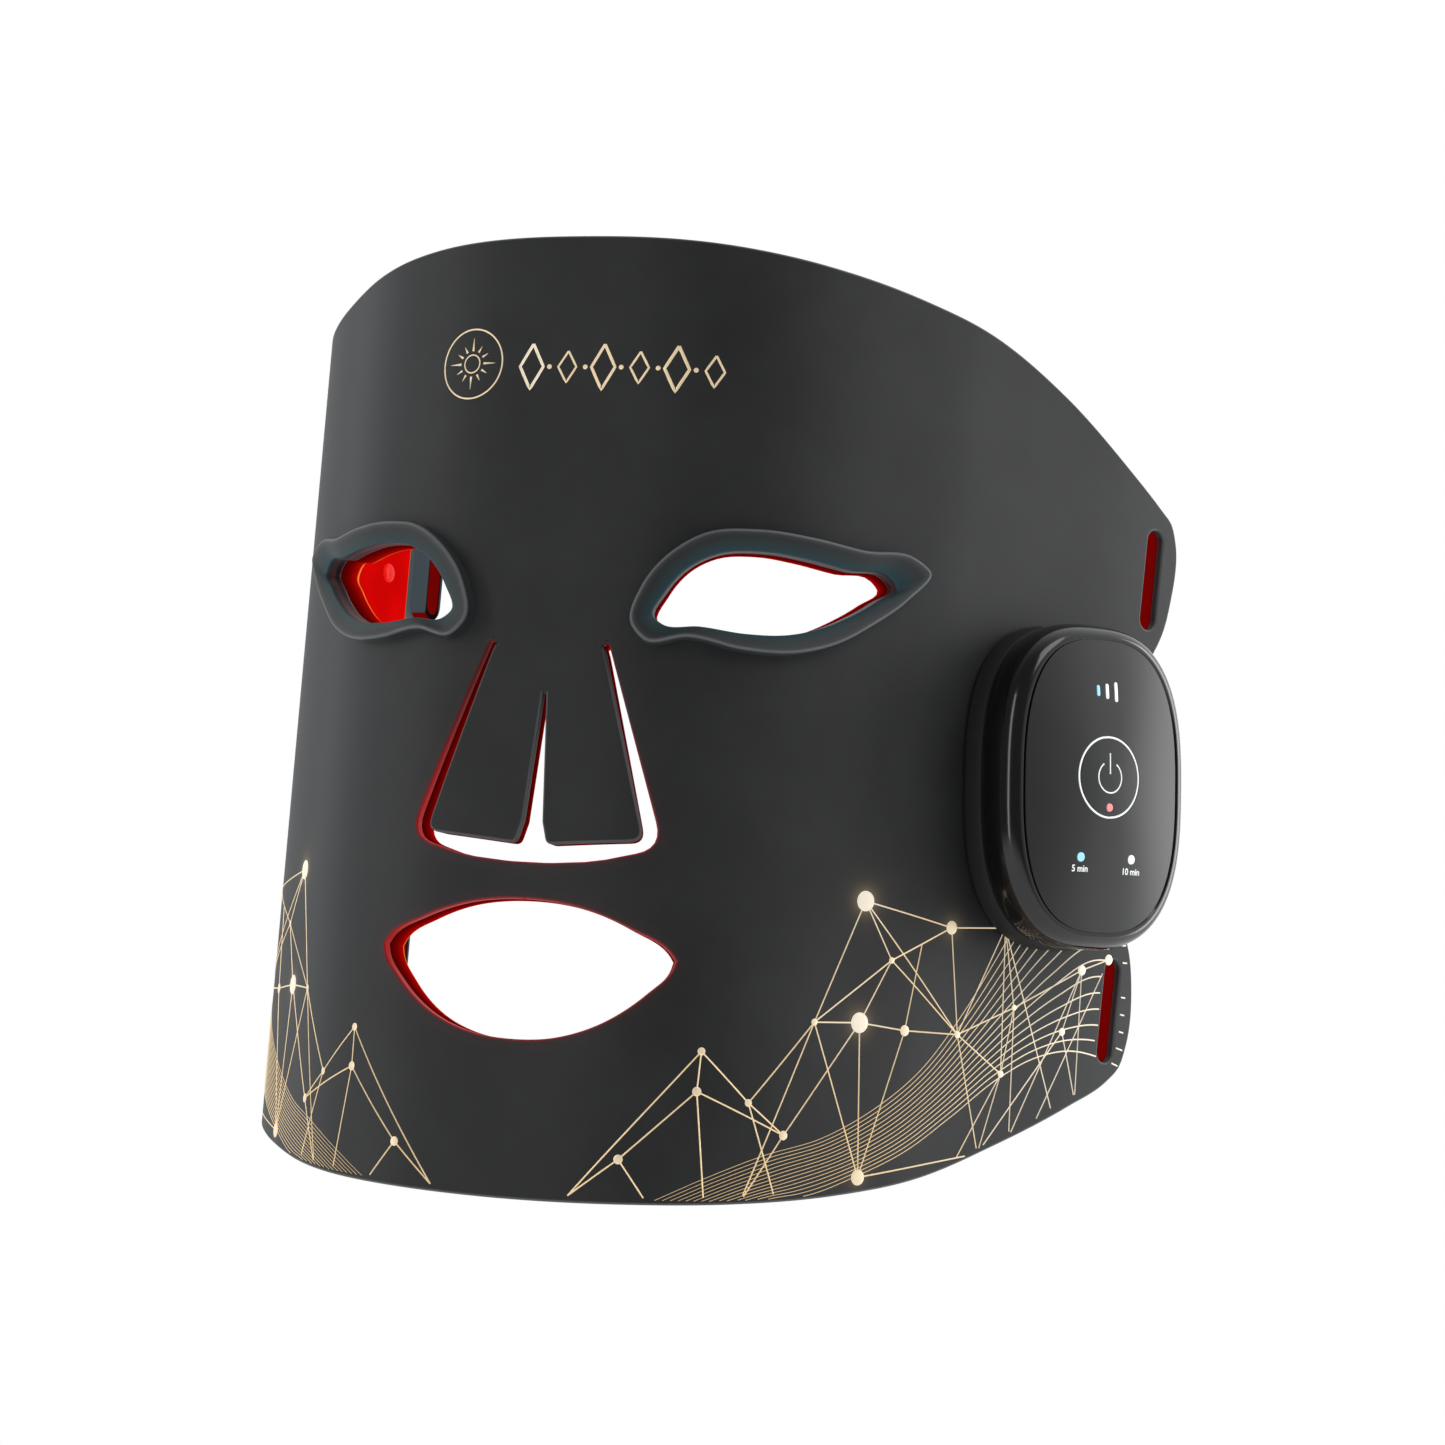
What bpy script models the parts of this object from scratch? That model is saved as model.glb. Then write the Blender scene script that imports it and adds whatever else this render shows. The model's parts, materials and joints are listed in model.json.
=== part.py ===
# LED face mask: a flexible light-therapy mask with a control pod on its left wing.
#
# Axes: +X is the wearer's left, the outer face looks to -Y, +Z is up.
# The mask's layers are drawn flat, in (s, z): s is the distance from the middle along
# the outer surface and z the height.  bend() then wraps them round the face.
# The pod is drawn in its own frame (u, v, n), with n standing off the left wing.
import bpy
import bmesh
from math import cos, sin, radians, pi
from mathutils import Vector

MM = 0.001

# ---- the mask's curve, seen from above: facet ends (mm from the middle) and headings
# The face is the same on both sides.  The left wing, with the pod, is spread open, and
# the right wing wraps further round the head.
FACET_ENDS = [10, 18, 24, 30, 36, 42, 48, 54, 62, 72, 91, 97, 103, 110, 118, 136, 158]
FACE_HEADINGS = [0, 4, 10, 16.5, 23, 28.5, 33.5, 39, 44, 48, 50.5]
LEFT_HEADINGS = FACE_HEADINGS + [54.5, 54.5, 54.5, 54.5, 54.5, 57.5]
RIGHT_HEADINGS = FACE_HEADINGS + [58, 71, 88, 98, 100, 98]
TAPER = 0.00025          # widening per mm of height, from mid height
MID_HEIGHT = 100.0

# ---- depths of the layers below the outer surface (mm, negative is inwards)
SKIN = (-2.0, 0.0)
CARRIER = (-3.9, -2.3)
FLEX = (-3.1, -2.6)
LED_DEPTH = -3.75
LINER = (-6.2, -4.2)
COLLAR_HEIGHT = 3.2
GAP = 0.3

# ---- where the wings hinge, and what the layers keep clear of the edge
WING_LINE = 91.0
SEAM = 0.15
LAYER_INSET = 2.5
LINER_END = 136.0

# ---- openings (half of each, as s, z)
OUTLINE_TOP = [(25, 202.3), (51, 200.6), (76, 198), (97, 193.8), (117, 185.5), (138, 173)]
TAB_TOP = [(149, 166), (152.4, 163.6), (154.4, 159.5), (154.6, 145), (153.4, 139), (149, 130)]
TAB_BOTTOM = [(149, 72), (152.6, 65.5), (154.5, 58), (154.6, 45), (152.8, 39.7), (149.3, 36.4)]
OUTLINE_BOTTOM = [(138, 30), (117, 19.8), (97, 11.6), (76, 6.5), (51, 2.8), (25, 0.7)]
NOTCH = [(144, 122), (142, 112), (142, 90), (144, 80)]
TOP_MIDDLE = 203.0
EYE = [(22.2, 121.4), (24.2, 126.7), (28.5, 132.2), (34.5, 135.7), (43.2, 137.1), (53, 136.9),
       (63, 136.2), (72.5, 136.2), (74.3, 134.6), (69.8, 130.6), (63, 126), (56.3, 122.5),
       (49.4, 120.3), (41, 119.5), (31.6, 120), (24, 119.9)]
EYE_RIM = [(17.9, 119.4), (19.4, 127.5), (24.6, 135), (31.5, 139.8), (41, 141.5), (53, 141.5),
           (65, 140.8), (77.5, 141.4), (82, 138.9), (77, 132), (69, 125.4), (60, 119.6),
           (50.5, 116.4), (40, 115.9), (29.5, 117.3), (21.2, 115.9)]
MOUTH = [(0, 61.4), (12, 60.2), (23, 56.7), (34.3, 51), (28, 43.6), (18, 36.4), (9, 33.3), (0, 32.5)]
NOSE_TOP = [(0, 104.3), (12.2, 115.4)]
NOSE_SIDE = [(13.2, 115.0), (26.4, 79.4), (26.6, 75.6), (23.6, 72.6), (12, 70.2), (0, 69.1)]
FLAP = [(0.35, 103.5), (11.7, 114.1), (12.3, 113.7), (21.6, 78.6), (20.2, 76.4), (4.0, 75.4), (1.7, 77.0)]
SLOT_CENTRES = [149.6, 52.0]
SLOT_S = 147.7
SLOT_HALF_WIDTH = 2.4
SLOT_HALF_LENGTH = 11.4

# ---- the pod: where it sits, and its plan size
POD_S = 124.0
POD_Z = 98.5
POD_TILT = 5.0
POD_POINTS = 48
POD_POWER = 2.7
COVER_EDGE = 15.4
COVER_RISE = 2.2
COVER_HALF = (22.0, 31.6)
BUTTON_AT = (0.4, 1.8)
BUTTON_RADIUS = 8.1
RING_RADII = (8.4, 8.95)
STATUS_AT = (0.4, -4.7)
BAR_AT = [(-2.4, 20.4), (0.2, 20.4), (2.8, 20.4)]
BAR_HALF_HEIGHTS = [1.2, 1.65, 2.15]
TIMER_AT = [(-7.2, -15.6), (7.6, -15.6)]
POST_AT = [(-13.5, -23.0), (13.5, -23.0), (13.5, 23.0), (-13.5, 23.0)]

for old in list(bpy.data.objects):
    bpy.data.objects.remove(old, do_unlink=True)


def material(name, colour, roughness, metallic=0.0):
    """Make one plain material."""
    mat = bpy.data.materials.new(name)
    mat.use_nodes = True
    shader = mat.node_tree.nodes["Principled BSDF"]
    shader.inputs["Base Color"].default_value = (*colour, 1.0)
    shader.inputs["Roughness"].default_value = roughness
    shader.inputs["Metallic"].default_value = metallic
    mat.diffuse_color = (*colour, 1.0)
    return mat


CHARCOAL = (0.028, 0.03, 0.032)
BLACK = (0.012, 0.012, 0.013)
RED = (0.55, 0.02, 0.01)
AMBER = (0.55, 0.3, 0.1)
STEEL = (0.55, 0.55, 0.56)
GREEN = (0.02, 0.16, 0.07)
WHITE = (0.85, 0.87, 0.9)
CYAN = (0.2, 0.65, 0.9)


def facet_corners(headings):
    """Corners of one half of the curve seen from above, drawn as if on the wearer's left."""
    corners = [(0.0, 0.0, 0.0)]
    for end, heading in zip(FACET_ENDS, headings):
        s, x, y = corners[-1]
        step = end - s
        corners.append((end, x + step * cos(radians(heading)), y + step * sin(radians(heading))))
    return corners


LEFT_CORNERS = facet_corners(LEFT_HEADINGS)
RIGHT_CORNERS = facet_corners(RIGHT_HEADINGS)


def outward(index, headings):
    """Mitred outward direction at a corner of the curve."""
    before = radians(headings[max(index - 1, 0)])
    after = radians(headings[min(index, len(headings) - 1)])
    if index == 0:
        before = -after
    middle = (before + after) / 2
    reach = 1 / cos((after - before) / 2)
    return (sin(middle) * reach, -cos(middle) * reach)


def bend(s, z, depth=0.0):
    """Wrap a flat point round the face; depth is counted outwards."""
    side = -1 if s < 0 else 1
    headings = RIGHT_HEADINGS if s < 0 else LEFT_HEADINGS
    corners = RIGHT_CORNERS if s < 0 else LEFT_CORNERS
    s = abs(s)
    index = 0
    while index < len(FACET_ENDS) - 1 and s > FACET_ENDS[index]:
        index += 1
    s0, x0, y0 = corners[index]
    s1, x1, y1 = corners[index + 1]
    part = (s - s0) / (s1 - s0)
    (ax, ay), (bx, by) = outward(index, headings), outward(index + 1, headings)
    spread = 1 + TAPER * (z - MID_HEIGHT)
    x = spread * (x0 + part * (x1 - x0)) + depth * (ax + part * (bx - ax))
    y = spread * (y0 + part * (y1 - y0)) + depth * (ay + part * (by - ay))
    return Vector((side * x * MM, y * MM, z * MM))


def pod_frame():
    """Origin and axes of the pod's own frame on the left wing."""
    origin = bend(POD_S, POD_Z)
    along = (bend(POD_S + 5, POD_Z) - bend(POD_S - 5, POD_Z)).normalized()
    up = (bend(POD_S, POD_Z + 5) - bend(POD_S, POD_Z - 5)).normalized()
    out = along.cross(up).normalized()
    up = out.cross(along).normalized()
    turn = radians(POD_TILT)
    return origin, along * cos(turn) + up * sin(turn), up * cos(turn) - along * sin(turn), out


POD_ORIGIN, POD_U, POD_V, POD_N = pod_frame()


def pod_point(u, v, n):
    """A point of the pod's frame, in metres in the part's frame."""
    return POD_ORIGIN + (POD_U * u + POD_V * v + POD_N * n) * MM


def finish(bm, name, mat):
    """Turn a bmesh into a named object with outward faces."""
    bmesh.ops.recalc_face_normals(bm, faces=bm.faces)
    mesh = bpy.data.meshes.new(name)
    bm.to_mesh(mesh)
    bm.free()
    obj = bpy.data.objects.new(name, mesh)
    bpy.context.collection.objects.link(obj)
    mesh.materials.append(mat)
    return obj


def mirrored(points):
    """The same outline on the wearer's right."""
    return [(-s, z) for s, z in reversed(points)]


def smooth(points, steps=3, closed=True):
    """Pass a soft curve through a few outline points."""
    count = len(points)
    curve = []
    for i in range(count if closed else count - 1):
        if closed:
            quad = [points[(i + k) % count] for k in (-1, 0, 1, 2)]
        else:
            quad = [points[min(max(i + k, 0), count - 1)] for k in (-1, 0, 1, 2)]
        for step in range(steps):
            t = step / steps
            weights = ((-t + 2 * t * t - t ** 3) / 2, (2 - 5 * t * t + 3 * t ** 3) / 2,
                       (t + 4 * t * t - 3 * t ** 3) / 2, (t ** 3 - t * t) / 2)
            curve.append(tuple(sum(w * p[axis] for w, p in zip(weights, quad)) for axis in (0, 1)))
    if not closed:
        curve.append(points[-1])
    return curve


def slab(name, loops, depths, mat):
    """A layer: an outline with holes, given a thickness and wrapped round the face."""
    bm = bmesh.new()
    for loop in loops:
        ring = [bm.verts.new((s, z, 0)) for s, z in loop]
        for a, b in zip(ring, ring[1:] + ring[:1]):
            bm.edges.new((a, b))
    bmesh.ops.triangle_fill(bm, use_beauty=True, use_dissolve=False, edges=bm.edges[:])
    for end in FACET_ENDS[:-1]:
        for side in (-1, 1):
            bmesh.ops.bisect_plane(bm, geom=bm.verts[:] + bm.edges[:] + bm.faces[:], dist=1e-5,
                                   plane_co=(side * end, 0, 0), plane_no=(1, 0, 0))
    bm.verts.index_update()
    flat = [tuple(v.co) for v in bm.verts]
    faces = [[v.index for v in f.verts] for f in bm.faces]
    rims = [[v.index for v in e.verts] for e in bm.edges if len(e.link_faces) == 1]
    bm.free()
    out = bmesh.new()
    low = [out.verts.new(bend(s, z, depths[0])) for s, z, _ in flat]
    high = [out.verts.new(bend(s, z, depths[1])) for s, z, _ in flat]
    for face in faces:
        out.faces.new([high[i] for i in face])
        out.faces.new([low[i] for i in reversed(face)])
    for a, b in rims:
        out.faces.new([low[a], low[b], high[b], high[a]])
    bmesh.ops.triangulate(out, faces=[f for f in out.faces if len(f.verts) > 4])
    return finish(out, name, mat)


def loft(name, rings, mat, closed=False):
    """Join rings of points in turn; closed joins the last ring to the first."""
    bm = bmesh.new()
    rows = [[bm.verts.new(p) for p in ring] for ring in rings]
    pairs = list(zip(rows, rows[1:]))
    if closed:
        pairs.append((rows[-1], rows[0]))
    for lower, upper in pairs:
        for i in range(len(lower)):
            j = (i + 1) % len(lower)
            bm.faces.new([lower[i], lower[j], upper[j]])
            bm.faces.new([lower[i], upper[j], upper[i]])
    if not closed:
        bm.faces.new(list(reversed(rows[0])))
        bm.faces.new(rows[-1])
    return finish(bm, name, mat)


def oval(half_u, half_v, n, count=POD_POINTS, power=POD_POWER, centre=(0.0, 0.0)):
    """A softly squared oval in the pod's frame."""
    ring = []
    for i in range(count):
        angle = 2 * pi * (i + 0.5) / count
        c, s = cos(angle), sin(angle)
        u = half_u * abs(c) ** (2 / power) * (1 if c > 0 else -1)
        v = half_v * abs(s) ** (2 / power) * (1 if s > 0 else -1)
        ring.append(pod_point(centre[0] + u, centre[1] + v, n))
    return ring


def disc(centre, radius, n, count=24):
    """A circle in the pod's frame."""
    return oval(radius, radius, n, count, 2.0, centre)


def block(name, low, high, mat):
    """A box in the pod's frame."""
    corners = [(low[0], low[1]), (high[0], low[1]), (high[0], high[1]), (low[0], high[1])]
    return loft(name, [[pod_point(u, v, n) for u, v in corners] for n in (low[2], high[2])], mat)


def combine(obj, tool, operation):
    """Add or cut a tool solid, then remove the tool."""
    step = obj.modifiers.new(operation, "BOOLEAN")
    step.operation = operation
    step.solver = "EXACT"
    step.object = tool
    shape = obj.evaluated_get(bpy.context.evaluated_depsgraph_get())
    mesh = bpy.data.meshes.new_from_object(shape)
    obj.modifiers.clear()
    obj.data = mesh
    bpy.data.objects.remove(tool, do_unlink=True)


def cut(obj, tool):
    combine(obj, tool, "DIFFERENCE")


def join(obj, tool):
    combine(obj, tool, "UNION")


# ---------------------------------------------------------------- mask outlines
def clip(points, low, high):
    """Keep the part of an outline curve between two distances."""
    kept = []
    for (s0, z0), (s1, z1) in zip(points, points[1:]):
        for s_cut in (low, high):
            if (s0 - s_cut) * (s1 - s_cut) < 0:
                kept.append((s_cut, z0 + (z1 - z0) * (s_cut - s0) / (s1 - s0)))
        if low <= s1 <= high:
            kept.append((s1, z1))
    if low <= points[0][0] <= high:
        kept.insert(0, points[0])
    return kept


TOP_EDGE = smooth([(0, TOP_MIDDLE)] + OUTLINE_TOP, 2, closed=False)
BOTTOM_EDGE = smooth([(0, 0.0)] + OUTLINE_BOTTOM[::-1], 2, closed=False)


def centre_outline(inset=0.0, end=WING_LINE - SEAM):
    """Outline of a centre layer, both halves."""
    top = [(s, z - inset) for s, z in clip(TOP_EDGE, 0, end)]
    bottom = [(s, z + inset) for s, z in clip(BOTTOM_EDGE, 0, end)]
    right_top = [(-s, z) for s, z in reversed(top[1:])]
    right_bottom = [(-s, z) for s, z in bottom[1:]]
    return bottom[::-1][:-1] + [bottom[0]] + right_bottom + right_top + top


def wing_outline(inset=0.0, end=None):
    """Outline of a wing layer on the wearer's left; end cuts it short of the tabs."""
    start = WING_LINE + SEAM
    top = [(s, z - inset) for s, z in clip(TOP_EDGE, start, end or 999)]
    bottom = [(s, z + inset) for s, z in clip(BOTTOM_EDGE, start, end or 999)]
    if end:
        return bottom + top[::-1]
    return bottom + TAB_BOTTOM[::-1] + NOTCH[::-1] + TAB_TOP[::-1] + top[::-1]


def grow(points, distance):
    """Move a closed outline outwards by a distance."""
    count = len(points)
    area = sum(points[i][0] * points[(i + 1) % count][1] - points[(i + 1) % count][0] * points[i][1]
               for i in range(count))
    sign = 1 if area > 0 else -1
    moved = []
    for i, (s, z) in enumerate(points):
        before = Vector((s - points[i - 1][0], z - points[i - 1][1])).normalized()
        after = Vector((points[(i + 1) % count][0] - s, points[(i + 1) % count][1] - z)).normalized()
        reach = sign * distance / (1 + before.dot(after))
        moved.append((s + reach * (before.y + after.y), z - reach * (before.x + after.x)))
    return moved


EYE_HOLE = smooth(EYE)
EYE_OUTER = smooth(EYE_RIM)
MOUTH_HALF = smooth(MOUTH, 3, closed=False)
MOUTH_HOLE = MOUTH_HALF + [(-s, z) for s, z in MOUTH_HALF[-2:0:-1]]


def slot(centre_z, half_length=SLOT_HALF_LENGTH, half_width=SLOT_HALF_WIDTH):
    """Round-ended strap slot."""
    ring = []
    for end, start in ((1, 0), (-1, 180)):
        for step in range(7):
            angle = radians(start + 30 * step)
            ring.append((SLOT_S + half_width * cos(angle),
                         centre_z + end * (half_length - half_width) + half_width * sin(angle)))
    return ring


def nose_hole():
    """Opening for the two nose flaps and the slits round them."""
    half = NOSE_TOP + NOSE_SIDE
    return half + [(-s, z) for s, z in reversed(half[1:-1])]


def flap(lift=0.0):
    """One nose flap on the wearer's left, hung from its sloping top edge."""
    return FLAP[:3] + [(s, z + lift) for s, z in FLAP[3:]]


# ---------------------------------------------------------------- mask layers
skin_mat = material("silicone_skin", CHARCOAL, 0.55)
wing_holes = [slot(z) for z in SLOT_CENTRES]
RIBBON_SLOT = [(POD_S + u * cos(radians(POD_TILT)) - v * sin(radians(POD_TILT)),
                POD_Z + u * sin(radians(POD_TILT)) + v * cos(radians(POD_TILT)))
               for u, v in ((-21.3, -4.2), (-20.0, -4.2), (-20.0, 4.2), (-21.3, 4.2))]

slab("front_skin", [centre_outline(), EYE_HOLE, mirrored(EYE_HOLE), MOUTH_HOLE, nose_hole()],
     SKIN, skin_mat)
slab("wing_skin_left", [wing_outline(), RIBBON_SLOT] + wing_holes, SKIN,
     material("silicone_wing_left", CHARCOAL, 0.55))
slab("wing_skin_right", [mirrored(wing_outline())] + [mirrored(h) for h in wing_holes], SKIN,
     material("silicone_wing_right", CHARCOAL, 0.55))


def comb(s_low, s_high, z_bus, fingers, z_end, width=2.4):
    """A flex strip: one bus along the face with fingers to one side."""
    side = 1 if z_end > z_bus else -1
    near, far = z_bus - side * width, z_bus + side * width
    points = [(s_low, near), (s_high, near), (s_high, far)]
    for s in sorted(fingers, reverse=True):
        points += [(s + width, far), (s + width, z_end), (s - width, z_end), (s - width, far)]
    points.append((s_low, far))
    return points if side > 0 else list(reversed(points))


FOREHEAD = comb(-86, 86, 154, [-81, -45, -15, 15, 45, 81], 188)
CHIN = comb(-74, 74, 14.5, [-69, -52, 52, 69], 44)
CHEEK = comb(32, 86, 66, [39, 58, 81], 104)
WING = comb(98, 131, 97, [106, 127], 168)
ZONES = [("flex_forehead", FOREHEAD, [(s, z) for s in (-81, -45, -15, 15, 45, 81) for z in (164, 175, 185)]),
         ("flex_chin", CHIN, [(s, z) for s in (-69, -52, 52, 69) for z in (24, 33, 42)]),
         ("flex_cheek_left", CHEEK, [(s, z) for s in (39, 58, 81) for z in (76, 88, 100)]),
         ("flex_cheek_right", mirrored(CHEEK), [(-s, z) for s in (39, 58, 81) for z in (76, 88, 100)]),
         ("flex_wing_left", WING, [(s, z) for s in (106, 127) for z in (112, 128, 144, 160)]),
         ("flex_wing_right", mirrored(WING), [(-s, z) for s in (106, 127) for z in (112, 128, 144, 160)])]


def led_strip(name, outline, leds):
    """A flex strip with its light packages standing on the face side."""
    strip = slab(name, [outline], FLEX, material(name, AMBER, 0.4))
    for s, z in leds:
        corners = [(s - 1.4, z - 1.4), (s + 1.4, z - 1.4), (s + 1.4, z + 1.4), (s - 1.4, z + 1.4)]
        rings = [[bend(a, b, depth) for a, b in corners] for depth in (LED_DEPTH, FLEX[0] + 0.2)]
        join(strip, loft("package", rings, strip.data.materials[0]))


for zone_name, zone, zone_leds in ZONES:
    led_strip(zone_name, zone, zone_leds)

carrier_mat = material("carrier", (0.3, 0.05, 0.04), 0.6)
slab("carrier_centre", [centre_outline(LAYER_INSET), EYE_HOLE, mirrored(EYE_HOLE), MOUTH_HOLE,
                        nose_hole()] + [grow(z[1], 0.35) for z in ZONES[:4]], CARRIER, carrier_mat)
slab("carrier_left", [wing_outline(LAYER_INSET, LINER_END), grow(WING, 0.35)],
     CARRIER, carrier_mat)
slab("carrier_right", [mirrored(wing_outline(LAYER_INSET, LINER_END)), mirrored(grow(WING, 0.35))],
     CARRIER, carrier_mat)
liner_mat = material("liner", RED, 0.35)
slab("liner_centre", [centre_outline(LAYER_INSET), EYE_HOLE, mirrored(EYE_HOLE), MOUTH_HOLE,
                      nose_hole()], LINER, liner_mat)
slab("liner_left", [wing_outline(LAYER_INSET, LINER_END)], LINER, liner_mat)
slab("liner_right", [mirrored(wing_outline(LAYER_INSET, LINER_END))], LINER, liner_mat)

for label, turn in (("left", list), ("right", mirrored)):
    slab("nose_flap_" + label, [turn(flap())], SKIN, material("flap_" + label, CHARCOAL, 0.55))
    slab("flap_liner_" + label, [turn(flap(1.0))], (LINER[0] + 1.6, SKIN[0] - GAP),
         material("flap_liner_" + label, RED, 0.35))

for label, side in (("left", 1), ("right", -1)):
    base = [(side * s, z) for s, z in EYE_OUTER]
    mouth_of_eye = [(side * s, z) for s, z in EYE_HOLE]
    rings = [[bend(s, z, 0.35) for s, z in mouth_of_eye], [bend(s, z, 0.35) for s, z in base],
             [bend(s, z, COLLAR_HEIGHT - 0.6) for s, z in base],
             [bend(s, z, COLLAR_HEIGHT) for s, z in [(side * a, b) for a, b in grow(EYE_OUTER, -0.6)]],
             [bend(s, z, 1.7) for s, z in mouth_of_eye]]
    loft("eye_collar_" + label, rings, material("eye_collar_" + label, (0.03, 0.04, 0.045), 0.45),
         closed=True)

# ---------------------------------------------------------------- control pod
tray = loft("pod_tray", [oval(26.4, 35.4, GAP), oval(25.9, 34.9, 5.4), oval(23.0, 32.0, 5.4),
                         oval(22.6, 31.6, 1.8)], material("pod_tray", BLACK, 0.6))
for place_at in POST_AT:
    join(tray, loft("post", [disc(place_at, 2.3, 1.0, 16), disc(place_at, 2.3, 10.6, 16)],
                    tray.data.materials[0]))
for place_at in POST_AT:
    cut(tray, loft("bore", [disc(place_at, 0.9, 4.0, 12), disc(place_at, 0.9, 11.5, 12)],
                   tray.data.materials[0]))
cut(tray, block("ribbon_gap", (-21.4, -4.2, -0.5), (-19.9, 4.2, 2.6), tray.data.materials[0]))

loft("pod_gasket", [oval(25.0, 34.0, 5.7), oval(25.0, 34.0, 6.4), oval(23.6, 32.6, 6.4),
                    oval(23.6, 32.6, 5.7)], material("pod_gasket", (0.02, 0.02, 0.02), 0.8), closed=True)

shell = loft("pod_shell", [oval(25.7, 34.7, 6.7), oval(26.3, 35.3, 8.6), oval(26.2, 35.2, 11.2),
                           oval(25.4, 34.5, 13.6), oval(24.3, 33.6, 14.9), oval(23.2, 32.7, 15.5),
                           oval(22.4, 32.0, 15.4), oval(22.4, 32.0, 13.9), oval(20.2, 29.8, 13.9),
                           oval(20.2, 29.8, 12.8), oval(23.2, 32.4, 12.8), oval(23.8, 32.8, 6.7)],
             material("pod_shell", BLACK, 0.12), closed=True)
cut(shell, block("port", (-4.9, -37.0, 7.0), (4.9, -30.0, 10.7), shell.data.materials[0]))


def dome(u, v):
    """Height of the cover's domed face."""
    spread = (abs(u / COVER_HALF[0]) ** POD_POWER + abs(v / COVER_HALF[1]) ** POD_POWER) ** (2 / POD_POWER)
    return COVER_EDGE + COVER_RISE * (1 - spread)


SHARES = [1.0, 0.97, 0.9, 0.78, 0.62, 0.44, 0.24]
cover = loft("pod_cover", [oval(*COVER_HALF, 14.2)] + [
    oval(COVER_HALF[0] * k, COVER_HALF[1] * k, COVER_EDGE + COVER_RISE * (1 - k * k)) for k in SHARES],
    material("pod_cover", (0.025, 0.026, 0.028), 0.3))
cover_mat = cover.data.materials[0]
cut(cover, loft("hole", [disc(BUTTON_AT, 9.25, 12, 40), disc(BUTTON_AT, 9.25, 19, 40)], cover_mat))
for place_at, half in zip(BAR_AT, BAR_HALF_HEIGHTS):
    cut(cover, block("hole", (place_at[0] - 0.65, place_at[1] - half - 0.2, 12),
                     (place_at[0] + 0.65, place_at[1] + half + 0.2, 19), cover_mat))
for place_at in TIMER_AT:
    cut(cover, loft("hole", [disc(place_at, 1.3, 12, 16), disc(place_at, 1.3, 19, 16)], cover_mat))

BUTTON_TOP = dome(*BUTTON_AT) + 0.1
button = loft("power_button", [disc(BUTTON_AT, 1.6, 14.4, 40), disc(BUTTON_AT, BUTTON_RADIUS, 14.9, 40),
                               disc(BUTTON_AT, BUTTON_RADIUS, BUTTON_TOP - 0.35, 40),
                               disc(BUTTON_AT, BUTTON_RADIUS * 0.6, BUTTON_TOP - 0.1, 40),
                               disc(BUTTON_AT, BUTTON_RADIUS * 0.2, BUTTON_TOP, 40)],
              material("power_button", (0.025, 0.026, 0.028), 0.3))
cut(button, loft("hole", [disc(STATUS_AT, 1.05, 12, 16), disc(STATUS_AT, 1.05, 19, 16)],
                 button.data.materials[0]))
loft("ring_light", [disc(BUTTON_AT, RING_RADII[1], 14.3, 40),
                    disc(BUTTON_AT, RING_RADII[1], BUTTON_TOP - 0.3, 40),
                    disc(BUTTON_AT, RING_RADII[0], BUTTON_TOP - 0.3, 40),
                    disc(BUTTON_AT, RING_RADII[0], 14.3, 40)],
     material("ring_light", WHITE, 0.4), closed=True)
loft("status_lens", [disc(STATUS_AT, 0.8, 15.1, 16), disc(STATUS_AT, 0.8, BUTTON_TOP - 0.1, 16)],
     material("status_lens", (0.8, 0.05, 0.05), 0.3))

for number, (place_at, half) in enumerate(zip(BAR_AT, BAR_HALF_HEIGHTS), 1):
    top = dome(*place_at) + 0.05
    block("level_bar_%d" % number, (place_at[0] - 0.42, place_at[1] - half, 13.2),
          (place_at[0] + 0.42, place_at[1] + half, top), material("level_bar_%d" % number, WHITE, 0.4))
for number, place_at in enumerate(TIMER_AT, 1):
    top = dome(*place_at) + 0.05
    loft("timer_lens_%d" % number, [disc(place_at, 1.05, 13.2, 16), disc(place_at, 1.05, top, 16)],
         material("timer_lens_%d" % number, CYAN if number == 1 else WHITE, 0.4))

# ---------------------------------------------------------------- inside the pod
board = loft("main_board", [oval(20.6, 29.0, 10.9, 32), oval(20.6, 29.0, 11.9, 32)],
             material("main_board", GREEN, 0.45))
for place_at in POST_AT:
    cut(board, loft("hole", [disc(place_at, 1.05, 9, 16), disc(place_at, 1.05, 14, 16)],
                    board.data.materials[0]))
for number, place_at in enumerate(POST_AT, 1):
    loft("board_screw_%d" % number,
         [disc(place_at, 0.7, 5.0, 16), disc(place_at, 0.7, 12.15, 16), disc(place_at, 1.7, 12.15, 16),
          disc(place_at, 1.7, 12.45, 16), disc(place_at, 1.2, 12.65, 16)],
         material("board_screw_%d" % number, STEEL, 0.3, 1.0))
switch_u, switch_v = BUTTON_AT
tact = block("tact_switch", (switch_u - 3, switch_v - 3, 12.2), (switch_u + 3, switch_v + 3, 13.2),
             material("tact_switch", (0.05, 0.05, 0.05), 0.5))
join(tact, loft("plunger", [disc(BUTTON_AT, 1.5, 12.8, 16), disc(BUTTON_AT, 1.5, 13.7, 16)],
                tact.data.materials[0]))
for number, place_at in enumerate(TIMER_AT, 1):
    u, v = place_at
    block("timer_led_%d" % number, (u - 0.8, v - 0.5, 12.2), (u + 0.8, v + 0.5, 12.8),
          material("timer_led_%d" % number, (0.8, 0.75, 0.5), 0.4))
for number, place_at in enumerate(BAR_AT, 1):
    u, v = place_at
    block("level_led_%d" % number, (u - 0.5, v - 0.8, 12.2), (u + 0.5, v + 0.8, 12.8),
          material("level_led_%d" % number, (0.8, 0.75, 0.5), 0.4))
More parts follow.
